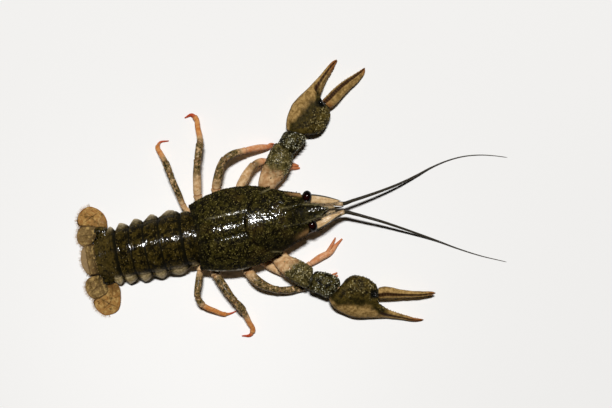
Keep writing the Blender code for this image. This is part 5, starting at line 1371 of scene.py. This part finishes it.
# ground, moss and pebbles, weight of the water's film, and the grain from which pebbles show
CLAW_COLOURS = {
    "arm": ((0.028, 0.023, 0.006), (0.12, 0.092, 0.026), (0.50, 0.43, 0.23), 0.10, 0.45),
    "wrist": ((0.0035, 0.0028, 0.0008), (0.070, 0.056, 0.014), (0.78, 0.76, 0.54), 0.10, 0.52),
    "hand": ((0.012, 0.0080, 0.0014), (0.080, 0.055, 0.010), (0.36, 0.29, 0.125), 0.0, 0.42)}
GOLD_DEEP, GOLD_LIGHT, GOLD_PIT = (0.185, 0.108, 0.030), (0.420, 0.265, 0.095), (0.07, 0.038, 0.010)
BARE_PEACH, BARE_CREAM = (0.46, 0.245, 0.105), (0.70, 0.47, 0.25)
CLAW_PIT, BAND_OLIVE, TIP_RED = (0.005, 0.004, 0.0015), (0.016, 0.013, 0.003), (0.26, 0.075, 0.014)
# black of the fingers' line, and brown of the painted shade along the outer edges
LINE_BLACK, EDGE_SHADE_BROWN = (0.022, 0.006, 0.002), (0.030, 0.018, 0.007)
SOCKET_BLACK, HORN_BLACK, HORN_GREY = (0.003, 0.003, 0.002), (0.002, 0.002, 0.001), (0.006, 0.005, 0.004)
SKIN_PEACH, SKIN_CREAM, SKIN_DARK = (0.50, 0.29, 0.14), (0.66, 0.46, 0.28), (0.022, 0.019, 0.008)


def on_limb(keys, share, turn):
    """Points on a flat limb's skin at shares of its length, turned from its first edge over
    the top, with the directions away from the skin and to the limb's tip.

    A point stands off the middle by cos(turn)**SKIN_POWER of the reach to the edge and
    sin(turn)**SKIN_POWER of the lift to the top, as in flat_limb's superellipse.
    """
    at = share * flat_run(keys)[-1]
    middle, reach, lift = flat_place(keys, at)
    ahead = unit(flat_place(keys, at + 0.1)[0] - flat_place(keys, at - 0.1)[0])
    c, s = np.cos(np.radians(turn))[:, None], np.sin(np.radians(turn))[:, None]
    skin = middle + signed_power(c, SKIN_POWER) * reach + signed_power(s, SKIN_POWER) * lift
    out = unit(c * reach / np.sum(reach**2, axis=1, keepdims=True)
               + s * lift / np.sum(lift**2, axis=1, keepdims=True))
    return skin, out, ahead


def rows_of_spikes(keys, rows, draw, **marks):
    """Rows of uneven spines or knobs on a flat limb."""
    forms = []
    for first, last, count, turn, height, width, lean in rows:
        share = np.linspace(first, last, count) + draw.uniform(-0.006, 0.006, count)
        skin, out, ahead = on_limb(keys, share, turn + draw.uniform(-4.0, 4.0, count))
        tall = height * draw.uniform(0.75, 1.2, (count, 1))
        forms.append(spikes(skin - out * 0.6, skin + (out + ahead * lean) * tall, width,
                            bend=out * tall * 0.25, **marks))
    return forms


def claw_shell(name, ground, moss, pebble, film, grain_from):
    """Pebbled olive shell, golden, red, black or bare where its marks say; painted shade at `rim`."""
    place, dress = shell_material(name, coat=film, coat_roughness=0.14, shine=0.04)
    fine = place.noise(1.4, 4.0)
    pebbled = place.mark("grain").between(grain_from, grain_from + 0.4) * fine.between(0.40, 0.56)
    cluster = place.noise(0.28).between(0.40, 0.60) * 0.75 + 0.25
    gold = place.noise(0.6, 5.0, 0.65).between(0.38, 0.62).mix(GOLD_DEEP, GOLD_LIGHT).painted(
        ((1.0 - place.cells(1.6)).between(0.7, 0.95) * 0.5, GOLD_PIT))
    bare = place.noise(0.5, 5.0).between(0.35, 0.65).mix(BARE_PEACH, BARE_CREAM)
    colour = place.noise(0.42, 6.0, 0.7).between(0.40, 0.60).mix(ground, moss).painted(
        (pebbled * cluster, pebble),
        (place.noise(0.8, 5.0, 0.75).between(0.46, 0.38) * 0.8, CLAW_PIT),
        (place.mark("band") * place.noise(0.7).between(0.25, 0.55), BAND_OLIVE),
        (place.mark("gold"), gold),
        (place.mark("bare"), bare),
        (place.mark("red"), TIP_RED),
        (place.mark("line") * fine.between(0.10, 0.36), LINE_BLACK),
        # painted shade along the outer edge
        (place.mark("rim"), EDGE_SHADE_BROWN),
        (place.mark("socket"), SOCKET_BLACK))
    height = (1.0 - place.cells(1.8)) * 0.5 + fine * 0.5
    return dress(colour, fine * 0.2 + 0.42, height, depth=0.10)


claw_skins = {part: claw_shell(f"claw_{part}_shell", *look) for part, look in CLAW_COLOURS.items()}
claw_skins["finger"] = claw_skins["hand"]
place, dress = shell_material("joint_skin", coat=0.1, shine=0.15)
skin_colour = place.noise(0.9).between(0.3, 0.7).mix(SKIN_PEACH, SKIN_CREAM)
joint_skin = dress(place.mark("pale").mix(SKIN_DARK, skin_colour), place.noise(1.5) * 0.25 + 0.35,
                   place.noise(1.6), depth=0.15)
place, dress = shell_material("socket_horn", coat=1.0)
socket_horn = dress(place.noise(1.0).mix(HORN_BLACK, HORN_GREY), place.noise(1.0) * 0.2)

for label, parts in CLAWS.items():
    draw = np.random.default_rng(90 + len(label))
    socket_x, socket_y, _ = SOCKETS[label]
    for part, keys in parts.items():
        grid, along, across, up = flat_limb(keys, *CLAW_GRID[part])
        if (part, label) == ("hand", "right"):
            grid[..., 2] -= HAND_ROLL * across * (1.0 - rise(along, 0.5, 0.9)) * rise(along, 0.0, 0.2)
        on_top = up > 0
        pebbled = rise(along, PEBBLED_FROM[part], PEBBLED_FROM[part] + 0.15) * rise(up, -0.75, -0.2)
        gold = band = line = red = rim = socket = bare = ridge = 0.0
        paler = 1.0
        if part == "hand":
            # golden beyond a wavy border, darker along it, and hollowed at the finger's socket
            wavy = (0.16 * lumps(grid, 2.2, seed=71) - 0.45 * (1.0 - rise(along, 0.02, 0.22))
                    - (0.14 if label == "left" else 0.18))
            on_finger = rise(along, 0.48, 0.58)
            near = np.hypot(grid[..., 0] - socket_x, grid[..., 1] - socket_y)
            gold = largest(rise(across + wavy, 0.02, 0.36), rise(along, 0.56, 0.66))
            band = 0.6 * bell(across + wavy + 0.02, 0.32) * (1.0 - rise(along, 0.55, 0.66))
            line = (rise(0.42 - np.abs(across - 0.22), 0.0, 0.25) * on_finger * on_top
                    * (0.9 + 0.1 * np.sin(along * 130.0)))
            ridge = (0.35 * bell(across + 0.25, 0.2) * on_finger - 0.6 * bell(near, 1.6)) * on_top
            red = 0.8 * rise(along, 0.78, 0.95)
            # painted shade: a dark brown line along the hand's outer edge
            rim = 0.85 * rise(across, 0.93, 0.99)
            socket = rise(-near, -3.0, -1.4)
            pebbled = pebbled * (1.0 - gold)
            paler = 0.5 + 0.6 * rise(-across - wavy, 0.1, 0.5)
        if part == "finger":
            # golden all over, with a dark line and a low ridge along its upper face
            gold = 1.0
            line = (rise(0.46 - np.abs(across + FINGER_LINE[label]), 0.0, 0.25) * on_top
                    * (0.93 + 0.07 * np.sin(along * 130.0)))
            ridge = (0.30 * bell(across - 0.05, 0.16) - 0.2 * bell(across + 0.38, 0.2)
                     + 0.02 * np.sin(along * 175.0) * rise(across, 0.0, 0.3)) * on_top
            red = largest(0.6 * rise(along, 0.80, 0.97),
                          0.4 * (1.0 - rise(along, 0.03, 0.16)) * (grid[..., 1] > 0))
            # painted shade along the finger's outer edge
            rim = 0.7 * rise(across, 0.94, 0.99)
        grain = grains(grid, 1.05, seed=70)
        shape = (pebbled * (0.26 * grain + 0.12 * grains(grid, 0.55, seed=72)) + ridge
                 + (1.0 - pebbled) * 0.04 * grains(grid, 0.6, seed=73)
                 + 0.12 * lumps(grid, 2.4, seed=74))
        grid = raised(grid, shape)
        if part == "arm":
            bare = 1.0 - rise(along + 0.07 * lumps(grid, 2.0, seed=75), 0.48, 0.66)
            # painted shade along one edge of the arm
            rim = 0.5 * rise(across, 0.9, 1.0) * rise(along, 0.3, 0.5)
        forms = [closed(grid, grain=grain * pebbled * paler, gold=gold, band=band, line=line,
                        red=red, rim=rim, socket=socket, bare=bare)]
        golden = float(part == "finger")
        forms += rows_of_spikes(keys, CLAW_ROWS[part][:3], draw, grain=0.8 * (1.0 - golden),
                                gold=golden)
        forms += rows_of_spikes(keys, CLAW_ROWS[part][3:], draw, gold=1.0)
        piece(f"claw_{part}_{label}_shell", forms, claw_skins[part], "claw_shell",
              f"claw_{part}_{label}")
    joints = []
    for first, second, width, tall in CLAW_JOINTS:
        end = flat_middle(parts[second][0])[0]
        start = end - (1.6, 0.0, 0.0) if second == "finger" else flat_middle(parts[first][-1])[0]
        ahead = unit(end - start)
        path = np.array([start - ahead * 1.2, start, end, end + ahead * 1.2])
        skin_keys = np.column_stack([path, [width * 0.9, width, width, width * 0.9]])
        rings = limb(skin_keys, np.linspace(0.0, run_length(path)[-1], 14), 40, tall=tall / width)
        near = np.hypot(rings[..., 0] - PALE_SKIN[label][0], rings[..., 1] - PALE_SKIN[label][1])
        joints.append(closed(rings, pale=rise(-near, -3.2, -1.8)))
    piece(f"claw_joint_skin_{label}", joints, joint_skin, "leg_shell")
    knobs = [closed(egg(np.array(SOCKETS[label]) + step, 0.6, size, size, 20, 24))
             for step, size in SOCKET_KNOBS]
    piece(f"claw_socket_{label}", knobs, socket_horn, "claw_shell")


# Walking legs
# Four pairs of thin, jointed legs. The two front pairs end in a small pincer, the others in a
# bent claw. They are peach at the root, mottled at the knee, orange further out, red-tipped.

# x, y, z, half width, from the hip outwards
LEGS = {
    "leg_2_left": [
        (24.4, 8.0, 4.6, 1.6), (22.3, 15.5, 5.7, 2.0), (26.5, 22.0, 7.8, 2.3),
        (31.5, 27.0, 8.7, 1.75), (35.2, 28.3, 6.9, 1.8), (38.9, 27.7, 4.2, 1.4),
        (44.0, 26.0, 2.3, 1.7), (48.0, 24.1, 1.6, 1.6), (51.4, 22.6, 0.6, 1.0),
        (53.0, 22.1, 0.3, 0.5)],
    "leg_3_left": [
        (17.4, 8.2, 4.6, 1.6), (11.8, 17.0, 6.2, 2.0), (14.2, 25.0, 9.0, 2.15),
        (18.8, 32.4, 10.0, 1.7), (23.0, 34.2, 9.3, 1.8), (29.0, 35.0, 7.3, 1.4),
        (36.0, 35.2, 4.2, 1.6), (40.0, 34.9, 1.9, 1.2), (41.8, 34.8, 0.45, 0.68),
        (42.7, 34.7, 0.2, 0.4)],
    "leg_4_left": [
        (10.0, 7.8, 4.6, 1.5), (3.2, 15.2, 5.9, 1.85), (4.0, 25.0, 8.8, 2.0),
        (6.1, 34.4, 10.2, 1.65), (7.4, 38.5, 9.2, 1.85), (8.8, 44.0, 6.6, 1.5),
        (8.6, 50.0, 3.8, 1.3), (8.2, 55.2, 1.2, 1.2), (6.6, 56.9, 0.6, 0.85),
        (3.3, 56.2, 0.2, 0.32)],
    "leg_5_left": [
        (3.4, 6.8, 4.6, 1.3), (-4.0, 12.6, 5.3, 1.3), (-6.1, 21.0, 7.8, 1.55),
        (-8.1, 30.4, 8.9, 1.5), (-8.8, 34.0, 7.8, 1.7), (-9.8, 37.6, 6.0, 1.35),
        (-11.3, 41.5, 3.6, 1.25), (-12.3, 44.6, 1.3, 1.05), (-11.0, 46.6, 0.45, 0.6),
        (-6.8, 46.7, 0.15, 0.3)],
    "leg_2_right": [
        (25.0, -9.0, 4.6, 1.6), (27.5, -17.5, 4.6, 2.0), (33.0, -23.6, 3.4, 1.9),
        (41.0, -27.6, 2.3, 1.6), (45.0, -26.3, 2.2, 1.7), (49.6, -24.3, 2.1, 1.35),
        (55.0, -22.1, 2.0, 1.7), (60.0, -20.5, 1.5, 1.5), (64.0, -17.5, 0.5, 0.87),
        (66.9, -15.4, 0.25, 0.45)],
    "leg_3_right": [
        (18.0, -9.2, 4.6, 1.6), (19.2, -20.0, 6.2, 2.3), (23.0, -27.0, 8.2, 2.4),
        (32.2, -33.4, 6.0, 1.6), (38.0, -34.6, 4.0, 1.8), (43.4, -35.0, 2.3, 1.4),
        (50.0, -34.6, 1.6, 1.55), (56.0, -33.6, 1.3, 1.45), (59.4, -32.9, 0.5, 0.84),
        (61.5, -32.4, 0.25, 0.45)],
    "leg_4_right": [
        (10.0, -9.0, 4.6, 1.5), (4.2, -18.5, 6.0, 2.1), (7.2, -27.0, 8.3, 2.1),
        (11.0, -34.6, 9.1, 1.65), (13.0, -38.0, 8.2, 2.0), (14.4, -41.2, 6.4, 1.5),
        (15.6, -46.0, 3.8, 1.3), (16.5, -50.8, 1.3, 1.2), (15.0, -52.7, 0.6, 0.85),
        (11.1, -52.5, 0.2, 0.32)],
    "leg_5_right": [
        (3.4, -8.6, 4.6, 1.3), (-1.8, -15.6, 5.4, 1.4), (-4.2, -22.5, 7.6, 1.7),
        (-6.0, -29.0, 8.2, 1.4), (-5.6, -31.8, 7.0, 1.6), (-3.6, -34.8, 5.4, 1.25),
        (0.5, -37.9, 3.4, 1.2), (4.6, -40.5, 1.2, 1.0), (7.0, -40.8, 0.42, 0.55),
        (10.8, -40.1, 0.15, 0.28)],
}
# the keys, or places between keys, where the joints of each named length begin and end
PINCER_LEG = {"thigh": [-0.15, 0.5, 1.3, 3.0], "shin": [3.0, 5.0], "pincer": [5.0, 9.0]}
CLAW_LEG = {"thigh": [-0.15, 0.5, 1.3, 3.0], "shin": [3.0, 4.6, 7.2, 9.0]}
# the free finger beside the tip of each pincer: x, y, z, half width
PINCER_FINGERS = {
    "leg_2_left": [(47.9, 24.9, 2.1, 1.0), (50.5, 24.1, 2.0, 1.0), (52.8, 23.3, 1.1, 0.45)],
    "leg_3_left": [(40.0, 35.4, 2.3, 0.7), (41.6, 36.1, 2.0, 0.5), (43.1, 35.9, 1.1, 0.28)],
    "leg_2_right": [(59.4, -19.6, 2.1, 0.9), (61.8, -16.9, 2.3, 0.75), (64.0, -14.0, 1.7, 0.3)],
    "leg_3_right": [(56.2, -33.0, 1.9, 0.9), (59.0, -31.6, 2.0, 0.65), (61.7, -30.8, 1.2, 0.3)],
}
# where a leg is mottled, as shares of its length
MOTTLED = {"leg_2_left": (0.40, 0.52), "leg_3_left": (0.24, 0.66), "leg_4_left": (0.32, 0.68),
           "leg_5_left": (0.22, 0.70), "leg_2_right": (0.36, 0.44), "leg_3_right": (0.22, 0.92),
           "leg_4_right": (0.20, 0.70), "leg_5_right": (0.22, 0.58)}

LEG_PEACH, LEG_CREAM = (0.52, 0.295, 0.125), (0.74, 0.51, 0.28)
MOTTLE_BLACK, MOTTLE_BROWN = (0.016, 0.013, 0.003), (0.15, 0.100, 0.030)
FRECKLE_BROWN, JOINT_BROWN = (0.075, 0.036, 0.010), (0.24, 0.105, 0.045)
# True for a leg with a pincer: colours of its outer half and its tip, and where the tip reddens
FAR_COLOURS = {True: ((0.56, 0.22, 0.085), (0.66, 0.36, 0.19)),
               False: ((0.48, 0.155, 0.032), (0.60, 0.28, 0.09))}
TIP_COLOURS = {True: (0.50, 0.155, 0.055), False: (0.42, 0.060, 0.020)}
TIP_SHARES = {True: (0.84, 0.99), False: (0.88, 0.94)}


def leg_shell(name, mottled, pincer):
    """Peach to orange shell with dark mottling between two places along the leg."""
    place, dress = shell_material(name, coat=0.08, coat_roughness=0.2, shine=0.12)
    first, last = mottled
    along = place.mark("along")
    fine = place.noise(1.3, 4.0)
    far = place.noise(0.7, 4.0).between(0.35, 0.65).mix(*FAR_COLOURS[pincer])
    inside = along.between(first, first + 0.12) * along.between(last + 0.05, last - 0.03)
    brown = place.noise(1.0).between(0.40, 0.56).mix(MOTTLE_BLACK, MOTTLE_BROWN)
    freckle = (1.0 - place.cells(0.9)).between(0.74, 0.90) * place.noise(0.6).between(0.42, 0.55)
    colour = place.noise(0.6, 4.0).between(0.35, 0.65).mix(LEG_PEACH, LEG_CREAM).painted(
        (along.between(last - 0.03, last + 0.10), far),
        (inside * place.noise(0.7, 5.0, 0.75).between(0.36, 0.50), brown),
        (freckle * 0.8, FRECKLE_BROWN),
        (place.mark("joint") * 0.6, JOINT_BROWN),
        (along.between(*TIP_SHARES[pincer]), TIP_COLOURS[pincer]))
    height = (1.0 - place.cells(2.2)) * 0.5 + fine * 0.5
    return dress(colour, fine * 0.2 + 0.42, height, depth=0.08)


for name, keys in LEGS.items():
    run = run_length(keys)
    pincer = name in PINCER_FINGERS
    shell = leg_shell(f"{name}_shell", MOTTLED[name], pincer)
    parts = PINCER_LEG if pincer else CLAW_LEG
    for part, places in parts.items():
        cuts = np.interp(places, range(-1, len(keys)), [-1.5 * run[1], *run])
        flare = np.full(len(cuts) - 1, 0.14)
        if part == list(parts)[-1]:
            flare[-1] = 0.0
        forms = jointed(keys, cuts, 30, flare, tall=1.05, gap=0.22)
        if part == "pincer":
            finger = PINCER_FINGERS[name]
            at = np.linspace(-0.8, run_length(finger)[-1], 40)
            forms.append(closed(limb(finger, at, 22), along=np.linspace(0.88, 1.0, 40)[:, None]))
        piece(f"{name}_{part}_shell", forms, shell, "leg_shell", f"{name}_{part}")


# Breastplate, mouth feet and swimming leaves
# The pale plate between the legs, the folded feet that cover the mouth, and the soft, paired
# leaves under the tail are seen only from low down and behind.

# x, half width, lower and upper level
STERNUM_KEYS = [(3.0, 4.6, 3.4, 6.4), (10.0, 6.2, 2.9, 6.85), (20.0, 6.4, 2.6, 6.85),
                (31.0, 6.0, 2.6, 6.85), (35.2, 4.6, 3.0, 6.85)]
BAR_LENGTH = 6.7                # length of the plate's bars, one for each pair of legs
# x, the pair's middle y, step to its own side, z, half width
MOUTH_FOOT = [(35.7, -0.4, 3.0, 5.0, 1.7), (41.0, -0.3, 2.9, 5.15, 2.0), (46.0, -0.2, 2.6, 6.1, 1.8),
              (50.0, -0.1, 2.4, 7.5, 1.5), (53.4, 0.0, 2.3, 8.2, 1.2), (55.6, 0.0, 2.2, 7.0, 0.9),
              (56.6, 0.0, 2.1, 5.2, 0.6)]
LEAF_ROOT = 5.6                 # distance of the leaves' roots from the midline
LEAF_TIP = 2.4                  # level of their tips
LEAF_STEPS = (0.9, -1.5)        # steps outwards of the two leaves at each side

BELLY_BROWN, BELLY_CREAM = (0.34, 0.23, 0.13), (0.52, 0.39, 0.25)

place, dress = shell_material("belly_horn", shine=0.2)
belly_horn = dress(place.noise(0.4).between(0.3, 0.7).mix(BELLY_BROWN, BELLY_CREAM),
                   place.noise(1.2) * 0.3 + 0.3, place.noise(1.8), depth=0.1)
edges = [(x, midline(x) + half, x, midline(x) - half, (low + high) / 2, (high - low) / 2)
         for x, half, low, high in STERNUM_KEYS]
grid, along, across, up = flat_limb(edges, 110, 90, power=3.0, root=(0.8, 0.7), tip=(0.8, 0.7))
bars = 0.35 * np.abs(np.sin(np.pi * (grid[..., 0] - edges[0][0]) / BAR_LENGTH)) ** 0.5
grid = raised(grid, (up < 0) * (bars - 0.5 * bell(across, 0.08)))
piece("breastplate", [closed(grid)], belly_horn, "belly_shell", "sternum")

for side, label in ((1, "left"), (-1, "right")):
    keys = mirrored(MOUTH_FOOT, side)
    forms = jointed(keys, (0.2, 10.5, 16.5, 19.6, run_length(keys)[-1] - 0.3), 28, 0.08, gap=0.3)
    piece(f"mouth_foot_{label}", forms, belly_horn, "leg_shell", f"maxilliped_{label}")

leaves = []
for front, rear, *_ in TAIL_RINGS[1:5]:
    x = (front + rear) / 2.0 + 1.0
    belly = float(at_x(TAIL_BELLY, x))
    drop = belly - LEAF_TIP
    for side, out in product((1, -1), LEAF_STEPS):
        y = midline(x) + side * LEAF_ROOT
        keys = [(x, y, belly + 0.8, 0.8), (x - 1.3, y + side * out, belly - 0.45 * drop, 1.15),
                (x - 2.6, y + side * 1.5 * out, belly - drop, 0.5)]
        at = np.linspace(0.0, run_length(keys)[-1], 26)
        ends = np.sqrt(np.clip(at[-1] - at, 0.05, 1.0))
        leaves.append(closed(limb(keys, at, 22, ends * 1.1, tall=0.4)))
piece("swimming_leaves", leaves, belly_horn, "belly_shell")
